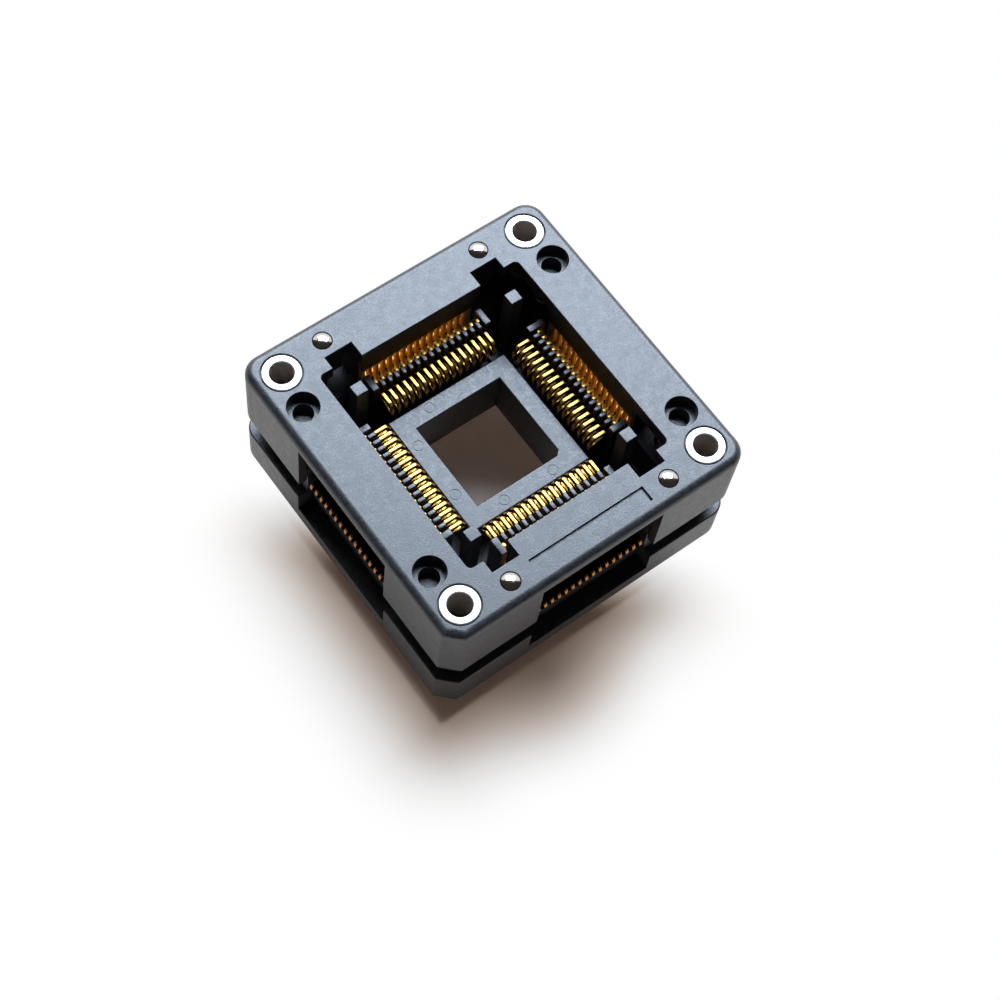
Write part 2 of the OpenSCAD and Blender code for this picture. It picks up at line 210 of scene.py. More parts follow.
def meshed(name: str, bm: bmesh.types.BMesh) -> Piece:
    """Puts a working mesh into the scene as a new object.

    Args:
        name: Name of the object.
        bm: The working mesh, which stays as it is.

    Returns:
        The object.
    """
    mesh = bpy.data.meshes.new(name)
    bm.to_mesh(mesh)
    return linked(name, mesh)


# Outlines


def rectangle(x0: float, y0: float, x1: float, y1: float) -> Outline:
    """Gives the four corners of a rectangle, counter-clockwise."""
    return [(x0, y0), (x1, y0), (x1, y1), (x0, y1)]


def arc(centre: Point, radius: float, start: float, end: float, steps: int) -> Outline:
    """Gives points along an arc.

    Args:
        centre: Middle of the arc.
        radius: Its radius.
        start: Angle of the first point, in degrees.
        end: Angle of the last point, in degrees.
        steps: Number of steps between them.

    Returns:
        The points, first and last included.
    """
    angles = [math.radians(start + (end - start) * i / steps) for i in range(steps + 1)]
    return [(centre[0] + radius * math.cos(a), centre[1] + radius * math.sin(a)) for a in angles]


def disc(radius: float, steps: int, centre: Point = (0.0, 0.0)) -> Outline:
    """Gives the points of a full circle, counter-clockwise."""
    return arc(centre, radius, 0, 360, steps)[:-1]


def left_of(way: Vector) -> Vector:
    """Gives the direction a quarter turn to the left of another one."""
    return Vector((-way.y, way.x))


def inset(points: Outline, distance: float) -> Outline:
    """Moves every edge of a closed counter-clockwise outline inwards, with mitred corners.

    Args:
        points: The outline.
        distance: How far the edges move inwards; a negative distance moves them outwards.

    Returns:
        The moved outline, with as many points.
    """
    moved: Outline = []
    for before, point, after in zip(points[-1:] + points[:-1], points, points[1:] + points[:1]):
        here = Vector(point)
        left_a = left_of((here - Vector(before)).normalized())
        left_b = left_of((Vector(after) - here).normalized())
        shift = (left_a + left_b) * (distance / (1 + left_a.dot(left_b)))
        moved.append(tuple(here + shift))
    return moved


def fixed(points: Outline) -> Plan:
    """Gives a function that insets these points, for prisms with rounded edges."""
    return lambda distance: inset(points, distance) if distance else points


def level(points: Outline, z: float) -> Ring:
    """Lifts an outline to a height."""
    return [Vector((x, y, z)) for x, y in points]


def quarter_turn(steps: int) -> list[float]:
    """Gives the angles of a quarter turn in equal steps, in radians."""
    return [math.pi / 2 * k / steps for k in range(steps + 1)]


def strip_outline(spine: Outline, bends: Sequence[float], width: float, steps: int = 8) -> Outline:
    """Gives the outline of a strip of constant width along a path with rounded corners.

    Args:
        spine: Corner points of the path.
        bends: Radius of each inner corner.
        width: Width of the strip.
        steps: Number of steps in each bend.

    Returns:
        The closed outline, counter-clockwise.
    """
    points = [Vector(p) for p in spine]
    samples = [(points[0], left_of((points[1] - points[0]).normalized()))]
    for before, here, after, radius in zip(points, points[1:], points[2:], bends):
        u, v = (here - before).normalized(), (after - here).normalized()
        cross = u.x * v.y - u.y * v.x
        sign = math.copysign(1, cross)
        full = math.atan2(abs(cross), u.dot(v))
        centre = here - u * radius * math.tan(full / 2) + left_of(u) * sign * radius
        for i in range(steps + 1):
            normal = Matrix.Rotation(sign * full * i / steps, 2) @ left_of(u)
            samples.append((centre - normal * sign * radius, normal))
    samples.append((points[-1], left_of((points[-1] - points[-2]).normalized())))
    right = [tuple(p - n * width / 2) for p, n in samples]
    left = [tuple(p + n * width / 2) for p, n in reversed(samples)]
    return right + left


# Solids


class Solid:
    """A closed mesh in millimetres that other solids can be joined to or cut from."""

    # Points closer than this become one, in millimetres
    WELD = 1e-5
    # Edges that turn more than this stay sharp, in degrees
    SMOOTH_DEG = 40.0
    # Large faces rule the shading near their edges
    EVEN_WEIGHT = 100

    def __init__(self) -> None:
        """Starts with nothing."""
        self.bm = bmesh.new()

    def skin(self, rings: Sequence[Ring]) -> "Solid":
        """Adds a closed skin through rings of equal length, with a cap at both ends.

        Args:
            rings: The rings, from the first cap to the last, counter-clockwise about their way.

        Returns:
            This solid.
        """
        rows = [[self.bm.verts.new(p) for p in ring] for ring in rings]
        for low, high in zip(rows, rows[1:]):
            for i, vertex in enumerate(low):
                j = (i + 1) % len(low)
                self.bm.faces.new((vertex, low[j], high[j], high[i]))
        self.bm.faces.new(list(reversed(rows[0])))
        self.bm.faces.new(rows[-1])
        return self

    def prism(
        self,
        plan: Plan,
        low: float,
        high: float,
        low_r: float = 0.0,
        high_r: float = 0.0,
        steps: int = 4,
        drop: float = 1.0,
    ) -> "Solid":
        """Adds an upright prism whose lower and upper edges may be rounded.

        Args:
            plan: Gives the outline moved inwards by a distance.
            low: Height of the lower face.
            high: Height of the upper face.
            low_r: Rounding of the lower edge.
            high_r: Rounding of the upper edge.
            steps: Number of steps in each rounding.
            drop: Height of the upper rounding, as a share of its width.

        Returns:
            This solid.
        """
        turn = quarter_turn(steps)
        rings = [
            level(plan(low_r * (1 - math.sin(a))), low + low_r * (1 - math.cos(a)))
            for a in (turn if low_r else turn[-1:])
        ]
        rings += [
            level(plan(high_r * (1 - math.cos(a))), high - high_r * drop * (1 - math.sin(a)))
            for a in (turn if high_r else turn[:1])
        ]
        return self.skin(rings)

    def mouth(self, plan: Plan, low: float, high: float, edge_r: float, steps: int = 4) -> "Solid":
        """Adds an upright cutter that leaves a rounded edge where it comes out of a top face.

        Args:
            plan: Gives the outline of the hole moved inwards by a distance.
            low: Height of the cutter's lower end.
            high: Height of the face that it comes out of.
            edge_r: Rounding of the edge that it leaves.
            steps: Number of steps in the rounding.

        Returns:
            This solid.
        """
        rings = [level(plan(0), low)]
        for a in quarter_turn(steps):
            rings.append(level(plan(-edge_r * (1 - math.cos(a))), high - edge_r * (1 - math.sin(a))))
        rings.append(level(plan(-edge_r), high + PAST))
        return self.skin(rings)

    def block(self, low: Sequence[float], high: Sequence[float], edge_r: float = 0.0) -> "Solid":
        """Adds an upright box whose upper edges may be rounded.

        Args:
            low: Its lowest corner.
            high: Its highest corner.
            edge_r: Rounding of the upper edges.

        Returns:
            This solid.
        """
        plan = fixed(rectangle(low[0], low[1], high[0], high[1]))
        return self.prism(plan, low[2], high[2], high_r=edge_r, steps=3)

    def end_blocks(self, r: Range, t: Range, z: Range, edge_r: float = 0.0) -> "Solid":
        """Adds a box at one end of a row and its mirror image at the other end.

        Args:
            r: Its reach away from the axis.
            t: Its reach along the row, at the far end.
            z: Its lower and upper height.
            edge_r: Rounding of the upper edges.

        Returns:
            This solid.
        """
        for low, high in ((-t[1], -t[0]), t):
            self.block((r[0], low, z[0]), (r[1], high, z[1]), edge_r)
        return self

    def lathe(self, profile: Outline, centre: Point, steps: int) -> "Solid":
        """Adds a closed ring turned about an upright axis.

        Args:
            profile: Closed outline of its section as radius and height, counter-clockwise.
            centre: Place of the axis.
            steps: Number of steps round the axis.

        Returns:
            This solid.
        """
        x, y = centre
        rows = []
        for k in range(steps):
            a = 2 * math.pi * k / steps
            places = [(x + r * math.cos(a), y + r * math.sin(a), z) for r, z in profile]
            rows.append([self.bm.verts.new(place) for place in places])
        for row, following in zip(rows, rows[1:] + rows[:1]):
            for i, vertex in enumerate(row):
                j = (i + 1) % len(row)
                self.bm.faces.new((vertex, following[i], following[j], row[j]))
        return self

    def plate(self, outline: Outline, thickness: float, edge_r: float, steps: int = 3) -> "Solid":
        """Adds a blanked sheet in the r-z plane, centred on t = 0, with rounded edges.

        Args:
            outline: Its side view as r and z, counter-clockwise.
            thickness: Thickness of the sheet, along t.
            edge_r: Rounding of its edges.
            steps: Number of steps in each rounding.

        Returns:
            This solid.
        """
        half = [
            (thickness / 2 - edge_r * (1 - math.cos(a)), inset(outline, edge_r * (1 - math.sin(a))))
            for a in quarter_turn(steps)
        ]
        rings = [[Vector((r, t, z)) for r, z in points] for t, points in half]
        rings += [[Vector((r, -t, z)) for r, z in points] for t, points in reversed(half)]
        return self.skin(rings)

    def add(self, other: "Solid", places: Sequence[Matrix]) -> "Solid":
        """Adds copies of another solid.

        Args:
            other: The other solid.
            places: One matrix for each copy.

        Returns:
            This solid.
        """
        mesh = bpy.data.meshes.new("copy")
        other.bm.to_mesh(mesh)
        for place in places:
            start = len(self.bm.verts)
            self.bm.from_mesh(mesh)
            self.bm.verts.ensure_lookup_table()
            bmesh.ops.transform(self.bm, matrix=place, verts=self.bm.verts[start:])
        bpy.data.meshes.remove(mesh)
        return self

    def on_all_sides(self) -> "Solid":
        """Gives a new solid that holds this one on all four sides."""
        return Solid().add(self, [side.turn for side in Side])

    def join(self, other: "Solid", how: Join) -> "Solid":
        """Joins another solid to this one, cuts it out of this one, or keeps what both share.

        Args:
            other: The other solid, which is used up.
            how: The way to put them together.

        Returns:
            This solid.
        """
        target, tool = meshed("target", self.bm), meshed("tool", other.bm)
        modifier = target.modifiers.new("join", "BOOLEAN")
        modifier.operation = how.value
        modifier.solver = "MANIFOLD"
        modifier.object = tool
        made = target.evaluated_get(bpy.context.evaluated_depsgraph_get())
        self.bm.clear()
        self.bm.from_mesh(made.data)
        for used in (target, tool):
            mesh = used.data
            bpy.data.objects.remove(used)
            bpy.data.meshes.remove(mesh)
        other.bm.free()
        return self

    def piece(self, name: str, material: Material) -> Piece:
        """Turns this solid, which is used up, into a piece of the scene, in metres.

        Args:
            name: Name of the piece.
            material: Its finish.

        Returns:
            The new object.
        """
        bmesh.ops.remove_doubles(self.bm, verts=self.bm.verts, dist=self.WELD)
        bmesh.ops.recalc_face_normals(self.bm, faces=self.bm.faces)
        bmesh.ops.scale(self.bm, vec=(MM, MM, MM), verts=self.bm.verts)
        made = meshed(name, self.bm)
        self.bm.free()
        made.data.materials.append(material)
        made.data.shade_smooth()
        made.data.set_sharp_from_angle(angle=math.radians(self.SMOOTH_DEG))
        even = made.modifiers.new("even_normals", "WEIGHTED_NORMAL")
        even.keep_sharp = True
        even.weight = self.EVEN_WEIGHT
        return made


# Finishes


class Shader:
    """The node tree of one finish, with short ways to add its nodes."""

    def __init__(self, name: str) -> None:
        """Starts a material that holds one Principled shader.

        Args:
            name: Name of the material.
        """
        self.material = bpy.data.materials.new(name)
        self.material.use_nodes = True
        self.tree = self.material.node_tree
        self.surface = self.tree.nodes["Principled BSDF"]
        places = self.node("TexCoord").outputs
        self.place = places["Object"]
        self.normal = places["Normal"]

    def node(self, kind: str) -> bpy.types.Node:
        """Adds a node."""
        return self.tree.nodes.new("ShaderNode" + kind)

    def feed(self, value: Signal | float | Colour, entry: Signal) -> None:
        """Gives an input a value.

        Args:
            value: Another node's output, a plain number or a plain colour.
            entry: The input.
        """
        if isinstance(value, tuple):
            entry.default_value = (*value, 1)
        elif isinstance(value, (int, float)):
            entry.default_value = value
        else:
            self.tree.links.new(value, entry)

    def set(self, **values: object) -> None:
        """Sets inputs of the Principled shader; a name's underscores stand for spaces."""
        for name, value in values.items():
            self.surface.inputs[name.replace("_", " ")].default_value = value

    def link(self, output: Signal, name: str) -> None:
        """Leads an output to one input of the Principled shader."""
        self.feed(output, self.surface.inputs[name])

    def noise(self, size: float, detail: float = 3.0, stretch: Sequence[float] = (1, 1, 1)) -> Signal:
        """Adds a noise.

        Args:
            size: Size of its grains, in millimetres.
            detail: How many finer layers it has.
            stretch: How much longer the grains are along x, y and z.

        Returns:
            Its value, about 0.5 on average.
        """
        mapping = self.node("Mapping")
        mapping.inputs["Scale"].default_value = [1 / s for s in stretch]
        self.feed(self.place, mapping.inputs["Vector"])
        noise = self.node("TexNoise")
        noise.inputs["Scale"].default_value = 1 / (size * MM)
        noise.inputs["Detail"].default_value = detail
        self.feed(mapping.outputs["Vector"], noise.inputs["Vector"])
        return noise.outputs["Fac"]

    def axes(self, vector: Signal | None = None) -> list[Signal]:
        """Gives the x, y and z of a vector, or of the place that is shaded, in metres."""
        parts = self.node("SeparateXYZ")
        self.feed(vector or self.place, parts.inputs["Vector"])
        return [parts.outputs[axis] for axis in "XYZ"]

    def facing(self) -> list[Signal]:
        """Gives how far the surface faces along x, y and z, either way."""
        return [self.size(part) for part in self.axes(self.normal)]

    def work(self, operation: Maths, *values: Signal | float) -> Signal:
        """Adds a calculation.

        Args:
            operation: The calculation.
            values: Its one or two values, as outputs of other nodes or plain numbers.

        Returns:
            The result.
        """
        step = self.node("Math")
        step.operation = operation.value
        for value, entry in zip(values, step.inputs):
            self.feed(value, entry)
        return step.outputs[0]

    def size(self, value: Signal) -> Signal:
        """Adds a value without its sign."""
        return self.work(Maths.SIZE, value)

    def larger(self, first: Signal, second: Signal | float) -> Signal:
        """Adds the larger of two values."""
        return self.work(Maths.LARGER, first, second)

    def product(self, first: Signal, second: Signal | float) -> Signal:
        """Adds the product of two values."""
        return self.work(Maths.MULTIPLY, first, second)

    def remainder(self, share: Signal) -> Signal:
        """Adds what a share leaves of the whole."""
        return self.work(Maths.SUBTRACT, 1.0, share)

    def length(self, across: Signal, along: Signal) -> Signal:
        """Adds the length of a step across and a step along."""
        squares = [self.work(Maths.POWER, step, 2) for step in (across, along)]
        return self.work(Maths.ROOT, self.work(Maths.ADD, *squares))

    def spread(
        self,
        value: Signal,
        low: float,
        high: float,
        middle: Range = (0.3, 0.7),
        how: Change = Change.STRAIGHT,
    ) -> Signal:
        """Stretches a value's middle range to other limits.

        Args:
            value: The value.
            low: Result at the lower end of the range.
            high: Result at its upper end.
            middle: The range.
            how: Kind of change between them.

        Returns:
            The new value.
        """
        change = self.node("MapRange")
        change.interpolation_type = how.value
        limits = {"From Min": middle[0], "From Max": middle[1], "To Min": low, "To Max": high}
        for name, limit in limits.items():
            change.inputs[name].default_value = limit
        self.feed(value, change.inputs["Value"])
        return change.outputs["Result"]

    def rise(self, place: Signal, reach: Range, full: float = 1.0, how: Change = Change.STRAIGHT) -> Signal:
        """Adds a rise from 0 to a full value over a reach in millimetres."""
        return self.spread(place, 0, full, (reach[0] * MM, reach[1] * MM), how)

    def fall(self, place: Signal, reach: Range) -> Signal:
        """Adds a fall from 1 to 0 over a reach in millimetres."""
        return self.spread(place, 1, 0, (reach[0] * MM, reach[1] * MM))

    def soft(self, place: Signal, reach: Range) -> Signal:
        """Adds a soft rise from 0 to 1 over a reach in millimetres."""
        return self.rise(place, reach, how=Change.SOFT)

    def mixed(self, share: Signal, none: Signal | Colour, full: Signal | Colour) -> Signal:
        """Adds a mix of two colours.

        Args:
            share: Share of the second colour.
            none: The first colour, plain or from another node.
            full: The second colour, plain or from another node.

        Returns:
            The colour.
        """
        mix = self.node("Mix")
        mix.data_type = "RGBA"
        self.feed(share, mix.inputs[0])
        entries = [entry for entry in mix.inputs if entry.type == "RGBA"]
        for entry, colour in zip(entries, (none, full)):
            self.feed(colour, entry)
        return next(output for output in mix.outputs if output.type == "RGBA")

    def between(self, value: Signal, low: Colour, high: Colour, middle: Range = (0.3, 0.7)) -> Signal:
        """Adds a colour that goes from low to high as a value rises.

        Args:
            value: The value.
            low: Colour at the lower end of the range.
            high: Colour at its upper end.
            middle: The range.

        Returns:
            The colour.
        """
        ramp = self.node("ValToRGB")
        for stop, position, colour in zip(ramp.color_ramp.elements, middle, (low, high)):
            stop.position = position
            stop.color = (*colour, 1)
        self.feed(value, ramp.inputs["Fac"])
        return ramp.outputs["Color"]

    def sum(self, first: Signal, second: Signal, share: float) -> Signal:
        """Adds a mix of two values.

        Args:
            first: One value.
            second: The other value.
            share: Share of the second.

        Returns:
            The mixed value.
        """
        mix = self.node("Mix")
        mix.data_type = "FLOAT"
        for name, value in (("Factor", share), ("A", first), ("B", second)):
            self.feed(value, mix.inputs[name])
        return mix.outputs["Result"]

    def relief(self, height: Signal, depth: float, strength: float) -> None:
        """Gives the surface a relief.

        Args:
            height: The noise that shapes it.
            depth: Its depth, in millimetres.
            strength: How much of it shows.
        """
        bump = self.node("Bump")
        for name, value in (("Distance", depth * MM), ("Strength", strength), ("Height", height)):
            self.feed(value, bump.inputs[name])
        self.link(bump.outputs["Normal"], "Normal")


@dataclass(frozen=True)
class MouldedPlastic:
    """Satin black glass-filled plastic: fine grains, cloudy gloss, a shallow relief, matt upright walls."""

    name: str = "satin_black_plastic"
    dark: Colour = (0.020, 0.0205, 0.024)
    pale: Colour = (0.034, 0.035, 0.040)
    ior: float = 1.66
    roughness: Range = (0.27, 0.45)
    grain: float = 0.17
    cloud: float = 0.9
    cloud_share: float = 0.35
    middle: Range = (0.37, 0.63)
    wall: Range = (0.2, 0.7)
    wall_matt: float = 0.1
    relief: Pair = (0.016, 0.8)

    def material(self) -> Material:
        """Makes the material.

        Returns:
            The material.
        """
        shader = Shader(self.name)
        grains = shader.noise(self.grain)
        mottle = shader.sum(grains, shader.noise(self.cloud), self.cloud_share)
        shader.link(shader.between(mottle, self.dark, self.pale, self.middle), "Base Color")
        walls = shader.spread(shader.facing()[2], self.wall_matt, 0, self.wall)
        gloss = shader.spread(mottle, *self.roughness, self.middle)
        shader.link(shader.work(Maths.ADD, gloss, walls), "Roughness")
        shader.relief(grains, *self.relief)
        shader.set(IOR=self.ior)
        return shader.material


@dataclass(frozen=True)
class ContactStrip:
    """A blanked contact strip: satin, a little uneven, plated or bare, with painted shade on the nose, the
    blanked sides and the stretch through the comb, and a matt lever.
    """

    name: str
    deep: Colour
    light: Colour
    roughness: Range
    # Painted shade on the noses: the arms' inner ends, low down, above the toe
    nose_shade: Colour = (0.42, 0.20, 0.065)
    nose_shade_r: Range = (8.1, 8.6)
    nose_shade_z: Range = (10.45, 10.75)
    toe_z: Range = (10.08, 10.18)
    matt_r: Range = (10.7, 11.2)
    matt: float = 0.3
    # Painted shade: near black on the blanked sides, in the comb's slots and below a height
    painted_shade: Colour = (0.07, 0.025, 0.006)
    painted_shade_from: Range = (9.05, 9.2)
    painted_shade_to: Range = (10.0, 10.12)
    painted_shade_z: Range = (-9.0, -8.0)
    side: Range = (0.5, 0.8)
    side_shade_to: Range = (10.6, 10.9)
    patch: float = 0.35
    grain: float = 0.12
    grain_detail: float = 2.0
    relief: Pair = (0.01, 0.25)

    def reach(self, shader: Shader) -> Signal:
        """Adds the distance from the socket's axis, square in plan."""
        x, y, _ = shader.axes()
        return shader.larger(shader.size(x), shader.size(y))

    def unshaded_share(self, shader: Shader) -> Signal:
        """Adds the share of the strip's own colour that is kept: little low on the inner ends, where painted
        shade darkens the noses, all of it elsewhere.

        Args:
            shader: The finish.

        Returns:
            The share.
        """
        z = shader.axes()[2]
        unshaded = shader.larger(shader.rise(self.reach(shader), self.nose_shade_r), shader.rise(z, self.nose_shade_z))
        return shader.larger(unshaded, shader.fall(z, self.toe_z))

    def painted_shading(self, shader: Shader) -> Signal:
        """Adds the share of painted shade: on the blanked sides, in the comb's slots and below a height.

        Args:
            shader: The finish.

        Returns:
            The share.
        """
        r = self.reach(shader)
        x, y, z = shader.axes()
        to_x, to_y, _ = shader.facing()
        across = shader.work(Maths.ABOVE, shader.size(y), shader.size(x))
        ends = (shader.product(across, to_x), shader.product(shader.remainder(across), to_y))
        sideways = shader.spread(shader.work(Maths.ADD, *ends), 0, 1, self.side)
        side = shader.product(sideways, shader.fall(r, self.side_shade_to))
        inside = shader.product(shader.rise(r, self.painted_shade_from), shader.fall(r, self.painted_shade_to))
        return shader.larger(shader.larger(side, inside), shader.fall(z, self.painted_shade_z))

    def material(self) -> Material:
        """Makes the material.

        Returns:
            The material.
        """
        shader = Shader(self.name)
        patches = shader.noise(self.patch)
        # Painted shade darkens the noses
        bright = shader.mixed(self.unshaded_share(shader), self.nose_shade, shader.between(patches, self.deep, self.light))
        # Painted shade over the sides, the comb's slots and what lies low
        shader.link(shader.mixed(self.painted_shading(shader), bright, self.painted_shade), "Base Color")
        lever = shader.rise(self.reach(shader), self.matt_r, self.matt)
        shader.link(shader.work(Maths.ADD, shader.spread(patches, *self.roughness), lever), "Roughness")
        shader.relief(shader.noise(self.grain, self.grain_detail), *self.relief)
        shader.set(Metallic=1.0)
        return shader.material


@dataclass(frozen=True)
class BrightMetal:
    """Plated or polished metal with fine marks left by turning or drawing, with its upright walls given a
    colour of their own as painted shade.
    """

    name: str
    dark: Colour
    pale: Colour
    roughness: Range
    mark: float = 0.15
    stretch: tuple[float, float, float] = (1, 1, 3)
    # Painted shade: the colour of upright walls, such as the bores
    upright: Colour = (0.6, 0.58, 0.55)
    wall: Range = (0.1, 0.4)
    relief: Pair = (0.0015, 0.15)

    def material(self) -> Material:
        """Makes the material.

        Returns:
            The material.
        """
        shader = Shader(self.name)
        marks = shader.noise(self.mark, stretch=self.stretch)
        flat = shader.spread(shader.facing()[2], 0, 1, self.wall)
        colour = shader.mixed(flat, self.upright, shader.between(marks, self.dark, self.pale))
        shader.link(colour, "Base Color")
        shader.link(shader.spread(marks, *self.roughness), "Roughness")
        shader.relief(marks, *self.relief)
        shader.set(Metallic=1.0)
        return shader.material


GOLD_PLATE = ContactStrip("gold_plate", (0.92, 0.50, 0.09), (1.0, 0.66, 0.18), (0.34, 0.48))
# Hoops: a metal far darker than the plate, as painted shade for the shadow they sit in; painted shade makes
# them near black except on their outermost faces above z 7.3
SHADED_HOOP_METAL = ContactStrip(
    "shaded_hoop_metal", (0.34, 0.13, 0.03), (0.50, 0.22, 0.06), (0.20, 0.30), matt=0.0, side_shade_to=(20.0, 21.0),
    painted_shade=(0.012, 0.005, 0.002), painted_shade_from=(1.0, 2.0), painted_shade_to=(15.92, 16.08), painted_shade_z=(7.1, 7.3),
)
# Sleeves: painted shade darkens and warms the bores
PLATED_SLEEVE = BrightMetal(
    "nickel_plate", (0.84, 0.82, 0.79), (0.92, 0.91, 0.89), (0.42, 0.55), upright=(0.74, 0.66, 0.60)
)
POLISHED_STEEL = BrightMetal("polished_steel", (0.64, 0.60, 0.56), (0.74, 0.71, 0.68), (0.12, 0.17))
SPRING_WIRE = BrightMetal("spring_wire", (0.42, 0.42, 0.43), (0.62, 0.62, 0.64), (0.25, 0.40), 0.08)


# The socket's envelope


@dataclass
class Envelope:
    """The square plan that base and cover share, with its cut corner at front left."""

    half: float = field(default_factory=lambda: span("cover")[1].x)
    corner_r: float = 2.0
    key_cut: float = 1.6
    arc_steps: int = 12

    def plan(self, distance: float) -> Outline:
        """Gives the plan moved inwards.

        Args:
            distance: How far it moves.

        Returns:
            The outline, counter-clockwise from the cut corner.
        """
        h = self.half - distance
        r = self.corner_r - distance
        cut = self.key_cut - distance * (2 - math.sqrt(2))
        points = [(-h, -h + cut), (-h + cut, -h)]
        for x, y, start in ((1, -1, -90), (1, 1, 0), (-1, 1, 90)):
            points += arc((x * (h - r), y * (h - r)), r, start, start + 90, self.arc_steps)
        return points

    def within(self, gap: float) -> Plan:
        """Gives the plan of what stands inside the envelope at a gap."""
        return lambda distance: self.plan(gap + distance)


# Cover


@dataclass
class Cover:
    """The floating moulded frame that is pressed down, with the cams under its window."""

    envelope: Envelope
    material: Material
    plate_t: float = 1.5
    lip_t: float = 1.1
    skirt_t: float = 0.9
    edge_r: float = 0.85
    edge_drop: float = 0.92
    edge_steps: int = 8
    foot_r: float = 0.15
    window_half: float = 11.36
    window_r: float = 0.5
    window_step: float = 0.39
    window_edge_r: float = 0.1
    notch_from: float = 6.87
    notch_l: float = 2.95
    notch_d: float = 1.75
    open_d: float = 1.7
    boss_z: float = 12.0
    boss_wall: float = 1.0
    cam_in: float = 11.8
    cam_z: float = 11.3
    cam_t: float = 6.45
    cam_low: float = 11.87
    cam_high: float = 13.2
    cam_edge_r: float = 0.03
    hole_edge_r: float = 0.07
    sleeve_hole: float = 1.55
    rim_hole: float = 2.0
    rim_depth: float = 0.4
    pin_hole: float = 0.93
    guide_hole: float = 0.975
    step_hole: float = 1.55
    step_depth: float = 1.3
    rim_steps: int = 72
    bore_steps: int = 64
    pin_steps: int = 48
    web_t: Range = (6.5, 6.86)
    web_r: Range = (11.9, 16.2)
    web_z: float = 8.6
    border_w: float = 0.32
    border_d: float = 0.3
    border_y: float = -14.12
    border_x: Range = (-6.5, 6.35)
    border_low: float = -15.6

    @property
    def top(self) -> float:
        """Height of the top face."""
        return span("cover")[1].z

    @property
    def foot(self) -> float:
        """Height of the skirt's lower edge."""
        return span("cover")[0].z

    @property
    def root(self) -> float:
        """Height to which what hangs under the plate reaches into it."""
        return self.top - self.plate_t + SINK

    def window(self) -> Outline:
        """Gives the window's outline, with its four notches and rounded corners.

        Returns:
            The outline, counter-clockwise.
        """
        w = self.window_half
        far = w + self.window_step
        notch = w + self.notch_d
        end = self.notch_from + self.notch_l
        quarter = arc((w - self.window_r, far - self.window_r), self.window_r, 0, 90, 6)
        quarter += [(end, far), (end, notch), (self.notch_from, notch), (self.notch_from, w)]
        upper = quarter + [(-x, y) for x, y in reversed(quarter)]
        return upper + [(-x, -y) for x, y in upper]

    def shell(self) -> Solid:
        """Makes the plate and skirt with their rounded edges, hollow underneath.

        Returns:
            The solid.
        """
        outside = (self.foot_r, self.edge_r, self.edge_steps, self.edge_drop)
        solid = Solid().prism(self.envelope.plan, self.foot, self.top, *outside)
        inner = self.envelope.within(self.skirt_t)
        return solid.join(Solid().prism(inner, self.foot - PAST, self.top - self.plate_t), Join.CUT)

    def bosses(self) -> Solid:
        """Makes the bosses round the sleeves, pins and guide posts of all corners.

        Returns:
            The solid.
        """
        made: Solid | None = None
        for fitting, bore in zip(Fitting, (self.sleeve_hole, self.pin_hole, self.guide_hole)):
            group = Solid()
            for corner in Corner:
                plan = corner.circle(fitting, bore + self.boss_wall, self.bore_steps)
                group.prism(plan, self.boss_z, self.root)
            made = made.join(group, Join.UNITE) if made else group
        limit = Solid().prism(self.envelope.within(self.skirt_t / 2), self.foot, self.top)
        return made.join(limit, Join.COMMON)

    def cams(self) -> Solid:
        """Makes the wedge-shaped ribs that push the contact levers.

        Returns:
            The solid.
        """
        side_view = [
            (self.cam_in, self.cam_z), (self.cam_low, self.cam_z), (self.cam_high, self.root),
            (self.cam_in, self.root),
        ]
        return Solid().plate(side_view, 2 * self.cam_t, self.cam_edge_r).on_all_sides()

    def webs(self) -> Solid:
        """Makes the walls under the plate at both ends of each row of contacts."""
        return Solid().end_blocks(self.web_r, self.web_t, (self.web_z, self.root)).on_all_sides()

    def holes(self) -> Solid:
        """Makes the cutters of the round holes in the corners, as wide as they are at the top.

        Returns:
            The cutters as one solid.
        """
        made = Solid()
        for corner in Corner:
            for fitting, radius, steps, low in (
                (Fitting.SLEEVE, self.rim_hole, self.rim_steps, self.top - self.rim_depth),
                (Fitting.PIN, self.pin_hole, self.pin_steps, self.foot),
                (Fitting.SPRING, self.step_hole, self.bore_steps, self.top - self.step_depth),
            ):
                made.mouth(corner.circle(fitting, radius, steps), low, self.top, self.hole_edge_r)
        return made

    def bores(self) -> Solid:
        """Makes the cutters of the bores under the counterbores.

        Returns:
            The cutters as one solid.
        """
        made = Solid()
        for corner in Corner:
            for fitting, radius, depth in (
                (Fitting.SLEEVE, self.sleeve_hole, self.rim_depth),
                (Fitting.SPRING, self.guide_hole, self.step_depth),
            ):
                plan = corner.circle(fitting, radius, self.bore_steps)
                made.mouth(plan, self.foot, self.top - depth, self.hole_edge_r)
        return made

    def border(self) -> Solid:
        """Makes the cutter of the engraved line round the bare field at the front.

        Returns:
            The cutter.
        """
        w = self.border_w / 2
        x0, x1 = self.border_x
        outline = [
            (x0, self.border_y - w), (x1 - w, self.border_y - w), (x1 - w, self.border_low),
            (x1 + w, self.border_low), (x1 + w, self.border_y + w), (x0, self.border_y + w),
        ]
        return Solid().prism(fixed(outline), self.top - self.border_d, self.top + PAST)

    def openings(self) -> Solid:
        """Makes the cutters of the openings in the four walls.

        Returns:
            The cutters as one solid.
        """
        half = self.envelope.half
        low = (half - self.open_d, -self.notch_from, self.foot - PAST)
        high = (half + PAST, self.notch_from, self.top - self.lip_t)
        return Solid().block(low, high).on_all_sides()

